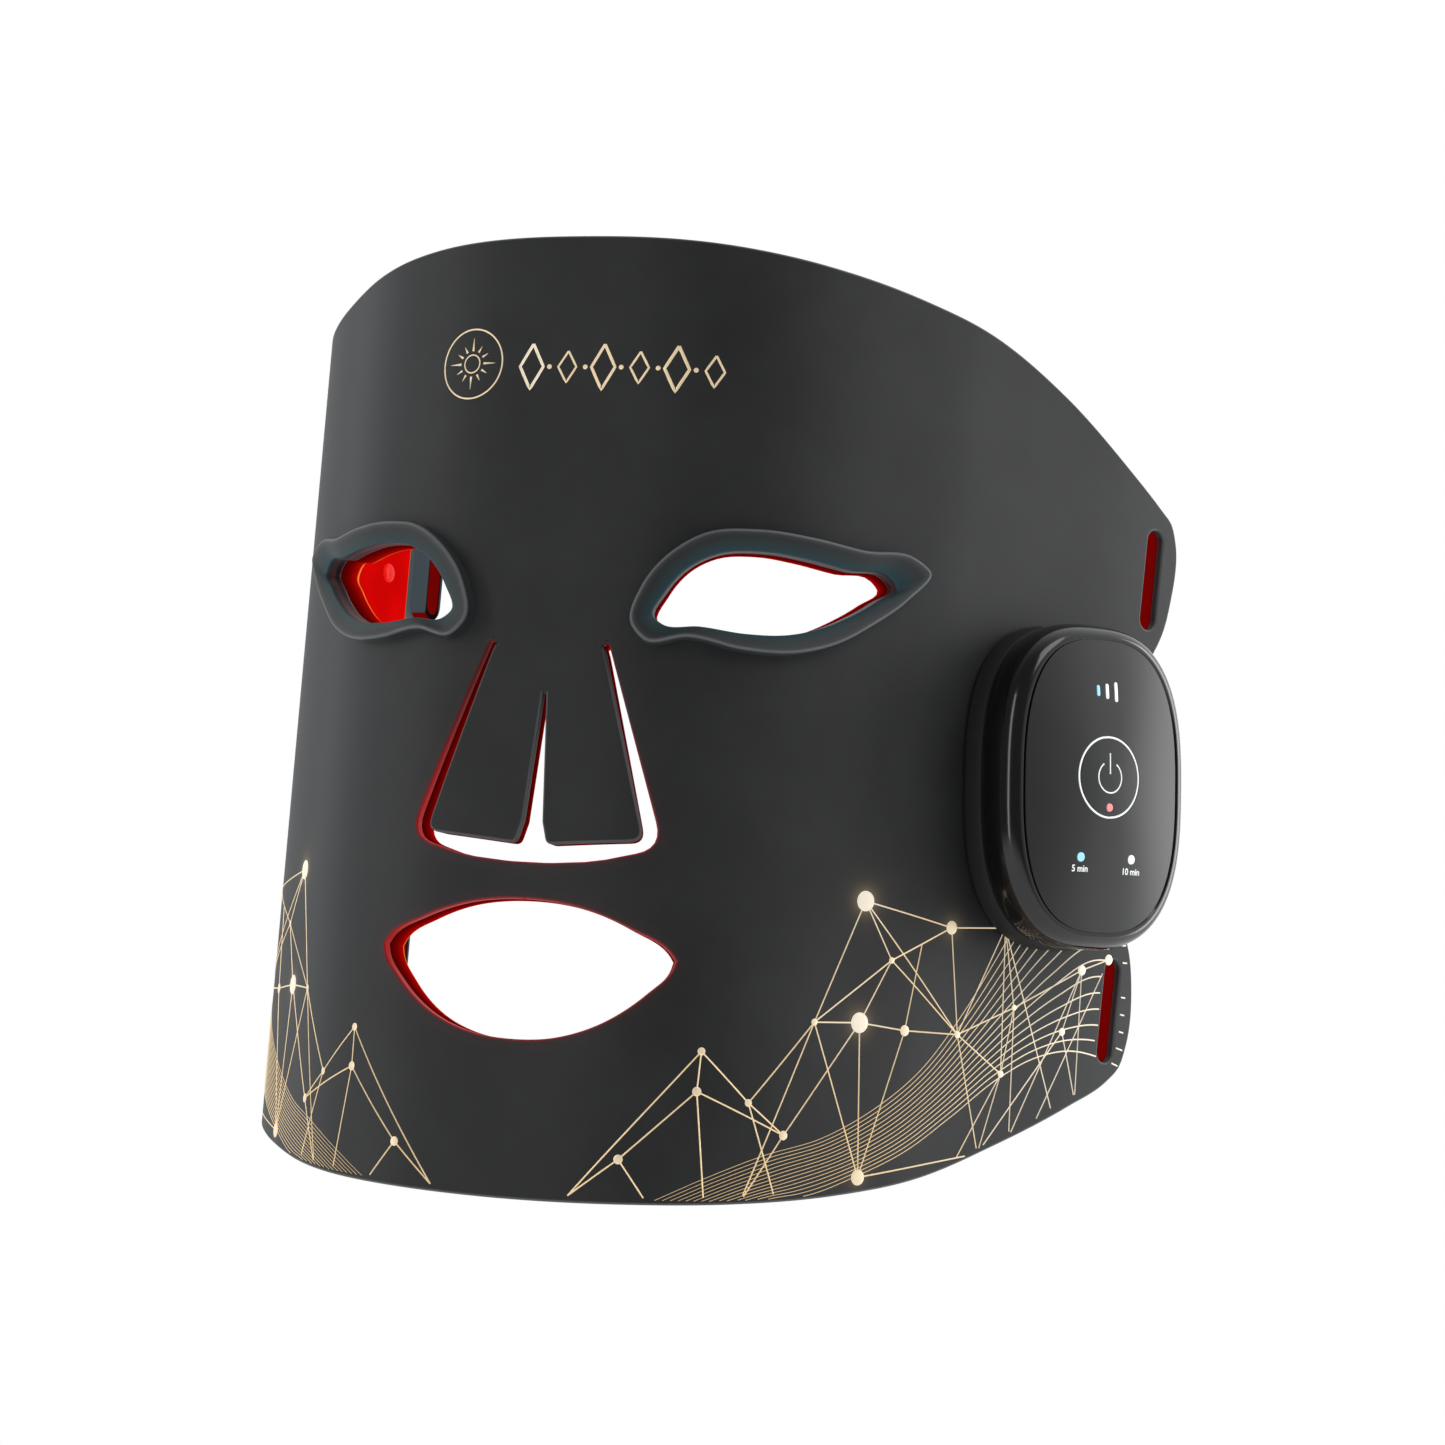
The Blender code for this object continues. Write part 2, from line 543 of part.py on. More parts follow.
block("battery_cell", (-17.5, -18.5, 2.2), (17.5, 18.5, 6.6), material("battery_cell", STEEL, 0.35, 0.6))

usb = block("usb_c_socket", (-4.45, -34.4, 7.3), (4.45, -27.4, 10.4),
            material("usb_c_socket", STEEL, 0.3, 1.0))
cut(usb, block("mouth", (-4.1, -36.0, 7.6), (4.1, -29.0, 10.1), usb.data.materials[0]))
join(usb, block("tongue", (-3.3, -33.6, 8.55), (3.3, -28.5, 9.15), usb.data.materials[0]))

ribbon_path = [(-20.8, -2.2), (-20.5, -2.2), (-20.5, 10.25), (-15.0, 10.25), (-15.0, 10.55), (-20.8, 10.55)]
loft("ribbon_cable", [[pod_point(u, v, n) for u, n in ribbon_path] for v in (-3.5, 3.5)],
     material("ribbon_cable", AMBER, 0.4))
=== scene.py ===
# %% [markdown]
# # A light-therapy face mask, rebuilt as a lesson
# The real thing is a flexible silicone mask that wraps the face. Its outer skin is
# charcoal, its inside is a red lining that glows, and a control pod sits on one wing.
# The CAD model fixes where everything is and how it moves. This script adds the
# looks: every piece below is drawn in millimetres in the CAD model's own frame.

# %% Load the frame
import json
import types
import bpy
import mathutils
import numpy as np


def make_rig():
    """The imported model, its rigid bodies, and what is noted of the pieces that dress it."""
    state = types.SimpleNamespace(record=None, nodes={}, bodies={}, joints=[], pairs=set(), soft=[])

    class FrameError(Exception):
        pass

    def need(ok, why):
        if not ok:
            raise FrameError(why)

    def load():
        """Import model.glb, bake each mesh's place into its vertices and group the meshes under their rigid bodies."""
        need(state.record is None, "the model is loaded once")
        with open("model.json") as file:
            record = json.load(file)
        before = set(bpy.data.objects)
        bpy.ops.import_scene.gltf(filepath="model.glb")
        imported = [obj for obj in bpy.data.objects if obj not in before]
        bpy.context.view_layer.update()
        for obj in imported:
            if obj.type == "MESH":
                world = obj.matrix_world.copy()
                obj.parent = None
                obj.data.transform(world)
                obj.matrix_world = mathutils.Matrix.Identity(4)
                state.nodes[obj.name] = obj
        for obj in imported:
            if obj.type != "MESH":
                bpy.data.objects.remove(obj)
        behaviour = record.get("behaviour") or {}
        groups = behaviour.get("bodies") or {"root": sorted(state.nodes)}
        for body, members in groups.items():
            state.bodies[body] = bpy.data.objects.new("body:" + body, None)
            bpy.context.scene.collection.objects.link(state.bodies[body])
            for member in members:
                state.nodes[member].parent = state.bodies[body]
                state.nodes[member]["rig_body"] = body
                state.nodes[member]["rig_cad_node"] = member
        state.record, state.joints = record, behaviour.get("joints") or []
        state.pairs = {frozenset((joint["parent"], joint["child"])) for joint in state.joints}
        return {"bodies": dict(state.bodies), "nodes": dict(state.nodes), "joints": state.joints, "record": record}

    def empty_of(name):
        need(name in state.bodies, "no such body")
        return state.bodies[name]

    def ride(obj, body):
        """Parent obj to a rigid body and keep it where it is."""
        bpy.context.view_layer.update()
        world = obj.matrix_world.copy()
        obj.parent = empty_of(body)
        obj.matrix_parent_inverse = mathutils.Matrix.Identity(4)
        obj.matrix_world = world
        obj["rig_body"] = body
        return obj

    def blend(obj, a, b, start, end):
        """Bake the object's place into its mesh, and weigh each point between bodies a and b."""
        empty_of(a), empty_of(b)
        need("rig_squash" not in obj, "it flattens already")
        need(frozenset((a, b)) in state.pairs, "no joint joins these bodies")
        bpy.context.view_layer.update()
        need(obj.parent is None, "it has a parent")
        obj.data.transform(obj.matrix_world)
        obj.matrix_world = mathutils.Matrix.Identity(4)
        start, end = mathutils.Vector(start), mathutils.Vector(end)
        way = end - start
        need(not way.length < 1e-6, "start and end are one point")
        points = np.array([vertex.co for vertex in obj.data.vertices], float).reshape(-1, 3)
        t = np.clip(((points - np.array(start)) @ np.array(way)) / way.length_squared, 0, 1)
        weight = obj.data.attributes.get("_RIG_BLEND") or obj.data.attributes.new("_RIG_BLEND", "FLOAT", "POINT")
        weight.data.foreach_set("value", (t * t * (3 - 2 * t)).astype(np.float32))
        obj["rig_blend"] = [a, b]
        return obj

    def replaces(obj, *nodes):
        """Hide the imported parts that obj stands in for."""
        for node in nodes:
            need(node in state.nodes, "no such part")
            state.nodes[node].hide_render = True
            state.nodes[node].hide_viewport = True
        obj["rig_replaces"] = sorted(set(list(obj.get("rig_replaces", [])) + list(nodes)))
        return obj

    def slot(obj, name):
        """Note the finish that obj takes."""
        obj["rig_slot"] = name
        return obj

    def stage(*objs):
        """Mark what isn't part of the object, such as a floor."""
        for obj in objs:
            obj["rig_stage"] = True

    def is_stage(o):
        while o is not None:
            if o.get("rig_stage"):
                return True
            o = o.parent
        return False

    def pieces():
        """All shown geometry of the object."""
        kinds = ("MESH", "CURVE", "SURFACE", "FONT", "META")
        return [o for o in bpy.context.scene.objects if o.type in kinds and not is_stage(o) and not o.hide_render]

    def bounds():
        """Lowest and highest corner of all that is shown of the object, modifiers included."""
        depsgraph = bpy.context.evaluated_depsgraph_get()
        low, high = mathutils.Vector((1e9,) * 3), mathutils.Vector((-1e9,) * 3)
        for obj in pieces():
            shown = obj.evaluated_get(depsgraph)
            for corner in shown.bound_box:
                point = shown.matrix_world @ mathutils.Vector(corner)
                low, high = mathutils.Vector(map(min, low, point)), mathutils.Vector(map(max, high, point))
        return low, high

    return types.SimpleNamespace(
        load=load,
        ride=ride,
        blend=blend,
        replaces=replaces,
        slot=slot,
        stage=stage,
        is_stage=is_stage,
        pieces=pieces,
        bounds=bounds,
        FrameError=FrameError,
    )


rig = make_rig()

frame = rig.load()
cad_low, cad_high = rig.bounds()
import json
import math
import bmesh
import bpy
import numpy as np
from mathutils import Matrix, Vector, geometry

MM = 0.001
print("CAD box in mm:", [round(value / MM, 1) for value in (*cad_low, *cad_high)])

# %% [markdown]
# ## Camera
# The mask is seen from its left front, a little from below, with a long lens. A long
# lens flattens the view, as a product shot does, so the camera stands well back.
# A camera looks along its own -Z, so the matrix holds right, up and backwards.

# %% Place the camera
LENS = 84.706
STAND = Vector((251.84, -654.286, 2.251)) * MM
ACROSS = Vector((0.95135888, 0.29625905, 0.08453907))
DOWN = Vector((0.03803428, 0.15936211, -0.98648726))
AHEAD = Vector((-0.3057281, 0.9417188, 0.14034256))

camera_data = bpy.data.cameras.new("camera")
camera_data.lens = LENS
camera = bpy.data.objects.new("camera", camera_data)
bpy.context.scene.collection.objects.link(camera)
camera.matrix_world = (Matrix.Translation(STAND)
                       @ Matrix((ACROSS, -DOWN, -AHEAD)).transposed().to_4x4())
bpy.context.scene.camera = camera
print("camera stands", round((STAND - (cad_low + cad_high) / 2).length, 3), "m from the mask")

# %% [markdown]
# ## The curve of the face
# The mask is easiest to draw flat and then bend. Seen from above, the CAD model is a
# chain of flat facets, and the right wing is wrapped further round than the left. A
# natural cubic spline through the same corners keeps the size and place but has no
# kinks, so the skin reflects light in one smooth sweep.
# bend() takes flat points: s along the surface from the middle, z up, depth outwards.

# %% Bend flat points round the face
FACET_ENDS = [10, 18, 24, 30, 36, 42, 48, 54, 62, 72, 91, 97, 103, 110, 118, 136, 158]
FACE_HEADINGS = [0, 4, 10, 16.5, 23, 28.5, 33.5, 39, 44, 48, 50.5]
LEFT_HEADINGS = FACE_HEADINGS + [54.5, 54.5, 54.5, 54.5, 54.5, 57.5]
RIGHT_HEADINGS = FACE_HEADINGS + [58, 71, 88, 98, 100, 98]
TAPER = 0.00025
MID_HEIGHT = 100.0

facets = np.diff([0.0] + FACET_ENDS)


def corners(headings):
    """The corners of one half, from the middle outwards, as rows of x and y."""
    angles = np.radians(headings)
    steps = np.column_stack([facets * np.cos(angles), facets * np.sin(angles)])
    return np.vstack([[0.0, 0.0], np.cumsum(steps, axis=0)])


left_corners = corners(LEFT_HEADINGS)
half_knots = np.array([0.0] + FACET_ENDS)
knots = np.concatenate([-half_knots[:0:-1], half_knots])
path = np.vstack([corners(RIGHT_HEADINGS)[:0:-1] * (-1, 1), left_corners])
gaps = np.diff(knots)
slopes = np.diff(path, axis=0) / gaps[:, None]
system = np.eye(len(knots))
target = np.zeros((len(knots), 2))
for i in range(1, len(knots) - 1):
    system[i, i - 1:i + 2] = gaps[i - 1], 2 * (gaps[i - 1] + gaps[i]), gaps[i]
    target[i] = 6 * (slopes[i] - slopes[i - 1])
curving = np.linalg.solve(system, target)


def bend(s, z, depth=0.0):
    """Wrap flat points round the face: arrays in mm in, an (n, 3) array in mm out."""
    s, z, depth = np.broadcast_arrays(np.asarray(s, float), z, depth)
    i = np.clip(np.searchsorted(knots, s, side="right") - 1, 0, len(gaps) - 1)
    gap = gaps[i][:, None]
    b = (s[:, None] - knots[i][:, None]) / gap
    a = 1 - b
    spot = a * path[i] + b * path[i + 1] + (
        (a ** 3 - a) * curving[i] + (b ** 3 - b) * curving[i + 1]) * gap ** 2 / 6
    along = slopes[i] + gap / 6 * ((3 * b ** 2 - 1) * curving[i + 1]
                                   - (3 * a ** 2 - 1) * curving[i])
    along = along / np.linalg.norm(along, axis=1)[:, None]
    spread = 1 + TAPER * (z - MID_HEIGHT)
    return np.column_stack([spread * spot[:, 0] + depth * along[:, 1],
                            spread * spot[:, 1] - depth * along[:, 0], z])


print("mask edge at mid height, mm:", bend([154.0], 100.0).round(2))

# %% [markdown]
# ## The pod's own frame
# The pod is a stiff box on a flexible wing, so it isn't bent. It has a flat frame:
# u runs back along the wing, v runs up with a slight tilt, and n stands off the wing.

# %% Pod frame
POD_S, POD_Z, POD_TILT = 124.0, 98.5, math.radians(5.0)
POD_FACET = FACET_ENDS.index(136)
facet_share = (POD_S - half_knots[POD_FACET]) / facets[POD_FACET]
pod_spread = 1 + TAPER * (POD_Z - MID_HEIGHT)
pod_x, pod_y = left_corners[POD_FACET] + facet_share * (left_corners[POD_FACET + 1]
                                                       - left_corners[POD_FACET])
pod_origin = Vector((pod_x * pod_spread, pod_y * pod_spread, POD_Z))
facing = math.radians(LEFT_HEADINGS[POD_FACET])
pod_along = Vector((math.cos(facing), math.sin(facing), 0))
pod_up = Vector((TAPER * pod_x, TAPER * pod_y, 1)).normalized()
pod_out = pod_along.cross(pod_up).normalized()
pod_up = pod_out.cross(pod_along).normalized()
pod_u = pod_along * math.cos(POD_TILT) + pod_up * math.sin(POD_TILT)
pod_v = pod_up * math.cos(POD_TILT) - pod_along * math.sin(POD_TILT)
POD_AXES = np.array([pod_u, pod_v, pod_out])


def on_pod(u, v, n):
    """Points of the pod's frame, in mm."""
    u, v, n = np.broadcast_arrays(np.asarray(u, float), v, n)
    return np.array(pod_origin) + np.column_stack([u, v, n]) @ POD_AXES


print("pod stands off along", [round(value, 3) for value in pod_out])

# %% [markdown]
# ## Drawing outlines
# A few points are enough for an outline. soft() passes a curve through them whose
# speed follows the distance between points, so uneven spacing gives no bulges.
# arc_corners() is for outlines with straight sides, whose corners become small arcs.

# %% Curves through a few points
def soft(points, step=1.3, closed=True, parts=None):
    """A smooth flat curve through points; parts fixes how many steps each span gets."""
    points = np.array(points, float)
    if closed:
        ring = np.vstack([points[-1:], points, points[:2]])
    else:
        ring = np.vstack([2 * points[:1] - points[1:2], points, 2 * points[-1:] - points[-2:-1]])
    curve = []
    for before, here, there, after in zip(ring, ring[1:], ring[2:], ring[3:]):
        lead, span, tail = [np.linalg.norm(b - a) for a, b in
                            ((before, here), (here, there), (there, after))]
        leave = ((there - here) * lead / span + (here - before) * span / lead) / (lead + span)
        arrive = ((after - there) * span / tail + (there - here) * tail / span) / (span + tail)
        count = parts or max(1, round(span / step))
        t = np.arange(count)[:, None] / count
        curve.append((2 * t ** 3 - 3 * t ** 2 + 1) * here + (t ** 3 - 2 * t ** 2 + t) * span * leave
                     + (3 * t ** 2 - 2 * t ** 3) * there + (t ** 3 - t ** 2) * span * arrive)
    if not closed:
        curve.append(points[-1:])
    return np.vstack(curve)


def arc_corners(corners, radii, step=1.3):
    """A closed outline with straight sides and an arc of its own radius at each corner."""
    corners = np.array(corners, float)
    outline = []
    for i, corner in enumerate(corners):
        back, on = corners[i - 1] - corner, corners[(i + 1) % len(corners)] - corner
        to_back, to_on = back / np.linalg.norm(back), on / np.linalg.norm(on)
        turn = math.pi - math.acos(np.clip(to_back @ to_on, -1, 1))
        cut = min(radii[i] * math.tan(turn / 2), 0.48 * min(np.linalg.norm(back), np.linalg.norm(on)))
        count = max(1, round(turn / 0.3)) if cut > 1e-6 else 0
        for t in np.linspace(0, 1, count + 1):
            first = corner + to_back * cut * (1 - t)
            second = corner + to_on * cut * t
            outline.append(first + (second - first) * t if count else corner)
    return dense(np.array(outline), step)


def dense(outline, step):
    """Add points along the straight sides of a closed outline."""
    filled = []
    for here, there in zip(outline, np.roll(outline, -1, axis=0)):
        span = np.linalg.norm(there - here)
        if span > 1e-6:
            count = max(1, round(span / step))
            filled.append(here + (there - here) * np.arange(count)[:, None] / count)
    return np.vstack(filled)


def racetrack(centre, half_width, half_length, count=14):
    """A slot outline with round ends."""
    angles = np.linspace(0, math.pi, count + 1)
    end = np.column_stack([np.cos(angles), np.sin(angles)]) * half_width
    straight = (0, half_length - half_width)
    return dense(np.vstack([end + straight, -end - straight]) + centre, 1.5)


def circle(centre, radius, count=48):
    """A round outline."""
    angles = np.arange(count) * 2 * math.pi / count
    return np.column_stack([np.cos(angles), np.sin(angles)]) * radius + centre


# %% [markdown]
# ## From an outline to a sheet
# The skin, the lining and the pod's cover are all sheets: an outline with holes, a
# thickness, and rounded edges. A plain extrude gives hard edges and long thin
# triangles, so this builder does three things. It moves the outline inwards by the
# edge's radius, fills it with an even net of triangles (a Delaunay net), and joins
# front and back with rings that follow a quarter circle. Sides that meet another
# sheet are "flush": they stay square, so the join doesn't show.

# %% Outline helpers
def area(outline):
    """Signed area of a closed outline, positive when it runs anticlockwise."""
    s, z = outline.T
    return 0.5 * np.sum(s * np.roll(z, -1) - np.roll(s, -1) * z)


def shift(outline, distance, flush=None):
    """How far each point moves when an outline's sides move to their left."""
    sides = np.roll(outline, -1, axis=0) - outline
    sides = sides / np.linalg.norm(sides, axis=1)[:, None]
    normal = np.column_stack([-sides[:, 1], sides[:, 0]])
    moves = np.full(len(outline), float(distance))
    if flush is not None:
        moves[flush((outline + np.roll(outline, -1, axis=0)) / 2)] = 0.0
    before, moved = np.roll(normal, 1, axis=0), np.roll(moves, 1)
    together = np.sum(before * normal, axis=1)
    straight = together > 0.97
    bottom = np.where(straight, 1 + together, 1 - together ** 2)
    first = np.where(straight, moved, moved - moves * together) / bottom
    second = np.where(straight, moves, moves - moved * together) / bottom
    way = before * first[:, None] + normal * second[:, None]
    length = np.linalg.norm(way, axis=1)[:, None]
    return way * np.minimum(1, 2.2 * abs(distance) / np.maximum(length, 1e-9))


def inside(points, outlines):
    """Which points lie inside the outer outline and outside its holes."""
    odd = np.zeros(len(points), bool)
    for outline in outlines:
        (s0, z0), (s1, z1) = outline.T, np.roll(outline, -1, axis=0).T
        for start in range(0, len(points), 4000):
            s, z = points[start:start + 4000].T[:, :, None]
            with np.errstate(divide="ignore", invalid="ignore"):
                crossed = ((z0 > z) != (z1 > z)) & (s < (s1 - s0) * (z - z0) / (z1 - z0) + s0)
            odd[start:start + 4000] ^= crossed.sum(axis=1) % 2 == 1
    return odd


def nearest(points, others):
    """Distance from each point to the nearest of the others."""
    gaps = [np.sqrt(((points[i:i + 2000, None] - others[None]) ** 2).sum(axis=2)).min(axis=1)
            for i in range(0, len(points), 2000)]
    return np.concatenate(gaps) if gaps else np.zeros(0)


# %% Make a mesh object from arrays
def new_piece(name, points, faces, finish, facts=None, normals=None):
    """A named object from points in mm; facts are values kept on its points for the shader."""
    mesh = bpy.data.meshes.new(name)
    mesh.from_pydata((np.asarray(points) * MM).tolist(), [], faces)
    for key, values in (facts or {}).items():
        values = np.asarray(values, np.float32)
        kind = "FLOAT_VECTOR" if values.ndim == 2 else "FLOAT"
        attribute = mesh.attributes.new(key, kind, "POINT")
        attribute.data.foreach_set("vector" if values.ndim == 2 else "value", values.ravel())
    mesh.shade_smooth()
    if normals is None:
        mesh.set_sharp_from_angle(angle=math.radians(38))
    else:
        mesh.normals_split_custom_set_from_vertices(normals.tolist())
    mesh.materials.append(finish.material)
    piece = bpy.data.objects.new(name, mesh)
    bpy.context.scene.collection.objects.link(piece)
    print(f"{name}: {len(mesh.vertices)} points, {len(mesh.polygons)} faces")
    return piece


def turn_outwards(piece):
    """Make every face of a piece look outwards, and shade it smoothly."""
    bm = bmesh.new()
    bm.from_mesh(piece.data)
    bmesh.ops.recalc_face_normals(bm, faces=bm.faces)
    bm.to_mesh(piece.data)
    bm.free()
    piece.data.shade_smooth()


# %% Build a sheet
def sheet(name, outlines, place, top, bottom, edge, net, finish, flush=None, rows=4, facts=None):
    """A sheet between two depths, bent into place by place(s, z, depth)."""
    turned = [o if (area(o) > 0) == (k == 0) else o[::-1] for k, o in enumerate(outlines)]
    moves = [shift(outline, edge, flush) for outline in turned]
    insets = [outline + move for outline, move in zip(turned, moves)]
    low, high = insets[0].min(axis=0), insets[0].max(axis=0)
    grid_s, grid_z = np.meshgrid(np.arange(low[0], high[0], net),
                                 np.arange(low[1], high[1], net * 0.87))
    grid_s[1::2] += net / 2
    grid = np.column_stack([grid_s.ravel(), grid_z.ravel()])
    rims = np.vstack(insets)
    grid = grid[inside(grid, insets)]
    flat = np.vstack([rims, grid[nearest(grid, rims) > 0.55 * net]])
    starts = np.cumsum([0] + [len(inset) for inset in insets])
    rim_sides = [(a + i, a + (i + 1) % (b - a)) for a, b in zip(starts, starts[1:])
                 for i in range(b - a)]
    made = geometry.delaunay_2d_cdt([Vector(p) for p in flat], rim_sides, [], 0, 1e-6, True)
    spots = np.array([tuple(p) for p in made[0]])
    triangles = np.array([face for face in made[2] if len(face) == 3])
    triangles = triangles[inside(spots[triangles].mean(axis=1), insets)]
    where = np.zeros(len(flat), int)
    for new, olds in enumerate(made[3]):
        where[olds] = new
    count = len(spots)
    faces = triangles.tolist() + (triangles[:, ::-1] + count).tolist()
    turns = [(a, top - edge) for a in np.linspace(0, math.pi / 2, rows + 1)[1:]]
    turns += [(a, bottom + edge) for a in np.linspace(math.pi / 2, math.pi, rows + 1)[:-1]]
    cells = [(spots, np.full(count, level), np.zeros((count, 2)), np.full(count, angle))
             for level, angle in ((top, 0.0), (bottom, math.pi))]
    total = 2 * count
    for outline, move, a, b in zip(turned, moves, starts, starts[1:]):
        size = b - a
        side = shift(outline, 1.0)
        side = side / np.linalg.norm(side, axis=1)[:, None]
        rings = [where[a:b]]
        for angle, level in turns:
            cells.append((outline + move * (1 - math.sin(angle)),
                          np.full(size, level + edge * math.cos(angle)), side,
                          np.full(size, angle)))
            rings.append(np.arange(total, total + size))
            total += size
        rings.append(where[a:b] + count)
        for upper, lower in zip(rings, rings[1:]):
            faces += np.column_stack([lower, np.roll(lower, -1), np.roll(upper, -1), upper]).tolist()
    flat_all, depth, side_all, angle_all = [np.concatenate(column) for column in zip(*cells)]
    s, z = flat_all.T
    tiny = 0.05
    across = place(s + tiny, z, depth) - place(s - tiny, z, depth)
    upward = place(s, z + tiny, depth) - place(s, z - tiny, depth)
    across, upward = [v / np.linalg.norm(v, axis=1)[:, None] for v in (across, upward)]
    outward = np.cross(across, upward)
    outward = outward / np.linalg.norm(outward, axis=1)[:, None]
    normals = (outward * np.cos(angle_all)[:, None] - np.sin(angle_all)[:, None]
               * (across * side_all[:, :1] + upward * side_all[:, 1:]))
    values = {"flat": np.column_stack([s, z, depth]),
              "edge": np.abs(np.sin(2 * angle_all)), "wall": np.sin(angle_all)}
    for key, rule in (facts or {}).items():
        values[key] = rule(s, z)
    return new_piece(name, place(s, z, depth), faces, finish, values, normals)


# %% [markdown]
# ## Writing shaders as sums
# A material is a small network of nodes. Drawing it by hand is slow, so two short
# classes write it: Wire wraps one output and turns + - * / into Math nodes, and
# Finish starts a Principled material and adds any other node with one call.

# %% Wire and Finish
class Wire:
    """One node output that can be used in sums with numbers and other wires."""

    def __init__(self, finish, socket):
        self.finish = finish
        self.socket = socket

    def sum(self, operation, first, second):
        return self.finish.node("Math", {"operation": operation}, {0: first, 1: second})

    def __add__(self, other):
        return self.sum("ADD", self, other)

    def __sub__(self, other):
        return self.sum("SUBTRACT", self, other)

    def __rsub__(self, other):
        return self.sum("SUBTRACT", other, self)

    def __mul__(self, other):
        return self.sum("MULTIPLY", self, other)

    def __truediv__(self, other):
        return self.sum("DIVIDE", self, other)

    def __rtruediv__(self, other):
        return self.sum("DIVIDE", other, self)

    def __pow__(self, other):
        return self.sum("POWER", self, other)

    __radd__ = __add__
    __rmul__ = __mul__


class Finish:
    """A material being made round one Principled shader; fixed values go on its sockets."""

    def __init__(self, name, **fixed):
        self.material = bpy.data.materials.new(name)
        self.material.use_nodes = True
        self.tree = self.material.node_tree
        self.shader = self.tree.nodes["Principled BSDF"]
        for socket, value in fixed.items():
            self.feed(socket.replace("_", " "), value)

    def feed(self, socket, value):
        """Give one of the shader's sockets a value or a wire."""
        if isinstance(value, Wire):
            self.tree.links.new(value.socket, self.shader.inputs[socket])
        else:
            self.shader.inputs[socket].default_value = value

    def node(self, kind, settings=None, sockets=None, output=0):
        """Add a node, set it up, fill its sockets, and give back one output."""
        made = self.tree.nodes.new("ShaderNode" + kind)
        for key, value in (settings or {}).items():
            setattr(made, key, value)
        for key, value in (sockets or {}).items():
            if isinstance(value, Wire):
                self.tree.links.new(value.socket, made.inputs[key])
            else:
                made.inputs[key].default_value = value
        return Wire(self, made.outputs[output])

    def fact(self, key):
        """A value kept on the mesh's points."""
        return self.node("Attribute", {"attribute_name": key}, output="Fac")

    def flat(self):
        """The flat place of a point, in mm, which stays put when the mask bends."""
        return self.node("Attribute", {"attribute_name": "flat"}, output="Vector")

    def parts(self, vector):
        """The three numbers of a vector wire."""
        split = self.node("SeparateXYZ", sockets={0: vector})
        return [Wire(self, socket) for socket in split.socket.node.outputs]

    def place(self):
        """The object's own coordinates, in metres."""
        return self.node("TexCoord", output="Object")

    def grain(self, vector, scale, detail=2.0, roughness=0.5):
        """A noise between 0 and 1."""
        return self.node("TexNoise", sockets={"Vector": vector, "Scale": scale, "Detail": detail,
                                              "Roughness": roughness})

    def ease(self, value, start, end, low=0.0, high=1.0):
        """Carry a range of a value softly to another range."""
        return self.node("MapRange", {"interpolation_type": "SMOOTHSTEP"},
                         {0: value, 1: start, 2: end, 3: low, 4: high})

    def mix(self, share, first, second, way="MIX"):
        """Mix two colours."""
        first, second = [c if isinstance(c, Wire) else (*c, 1.0) for c in (first, second)]
        return self.node("Mix", {"data_type": "RGBA", "blend_type": way},
                         {0: share, 6: first, 7: second}, output=2)

    def bump(self, height, strength, distance):
        """Raise the surface by a height, in metres, for the light only."""
        self.feed("Normal", self.node("Bump", sockets={"Height": height, "Strength": strength,
                                                       "Distance": distance}))


# %% [markdown]
# ## Charcoal silicone
# Moulded silicone is matt and very slightly cloudy: a fine grain from the mould and wide
# faint patches where it was handled. Its rounded edges are smoother, and a paler base
# colour along them is a painted highlight. Painted red light spills on to it round the
# nose and mouth, a painted warm glow surrounds the biggest printed dots, and the inner side
# of the strap tabs has a painted cold bounce of light. All of it follows the flat
# coordinates in mm.

# %% Silicone finish
PAINTED_GLOW_DOTS = [(75.3, 67.8, 1.0), (76.7, 42.4, 0.8), (98.9, 64.9, 0.35), (80.0, 10.5, 0.3)]
BLACK = (0.0, 0.0, 0.0)
BOUNCE = (0.05, 0.066, 0.074)

skin_finish = Finish("charcoal silicone", Sheen_Weight=0.08, Sheen_Roughness=0.45,
                     Sheen_Tint=(0.8, 0.87, 0.95, 1.0), Specular_IOR_Level=0.42,
                     Emission_Strength=1.0)
flat = skin_finish.flat()
patches = skin_finish.grain(flat, 0.035, 4.0, 0.6)
grain = skin_finish.grain(flat, 2.6, 3.0, 0.65)
edge, glow, wall = [skin_finish.fact(key) for key in ("edge", "glow", "wall")]
body = skin_finish.mix(skin_finish.ease(patches, 0.3, 0.7), (0.0192, 0.0195, 0.0202),
                       (0.028, 0.0285, 0.0296))
body = skin_finish.mix(skin_finish.ease(grain, 0.62, 0.8) * 0.25, body, (0.05, 0.052, 0.054))
# Painted red light: the cut walls by the nose and mouth turn dark red.
body = skin_finish.mix(skin_finish.ease(glow, 0.3, 0.6) * wall, body, (0.012, 0.0, 0.0))
# Painted highlight: a paler base colour along the rounded edges, left out by the glowing openings.
outer = edge * skin_finish.ease(glow, 0.15, 0.4, 0.8, 0.0)
skin_finish.feed("Base Color", skin_finish.mix(outer, body, (0.16, 0.165, 0.17)))
skin_finish.feed("Roughness", 0.44 + patches * 0.1 + grain * 0.1 - edge * 0.12)
skin_finish.bump(grain + patches * 0.6, 0.16, 0.00006)

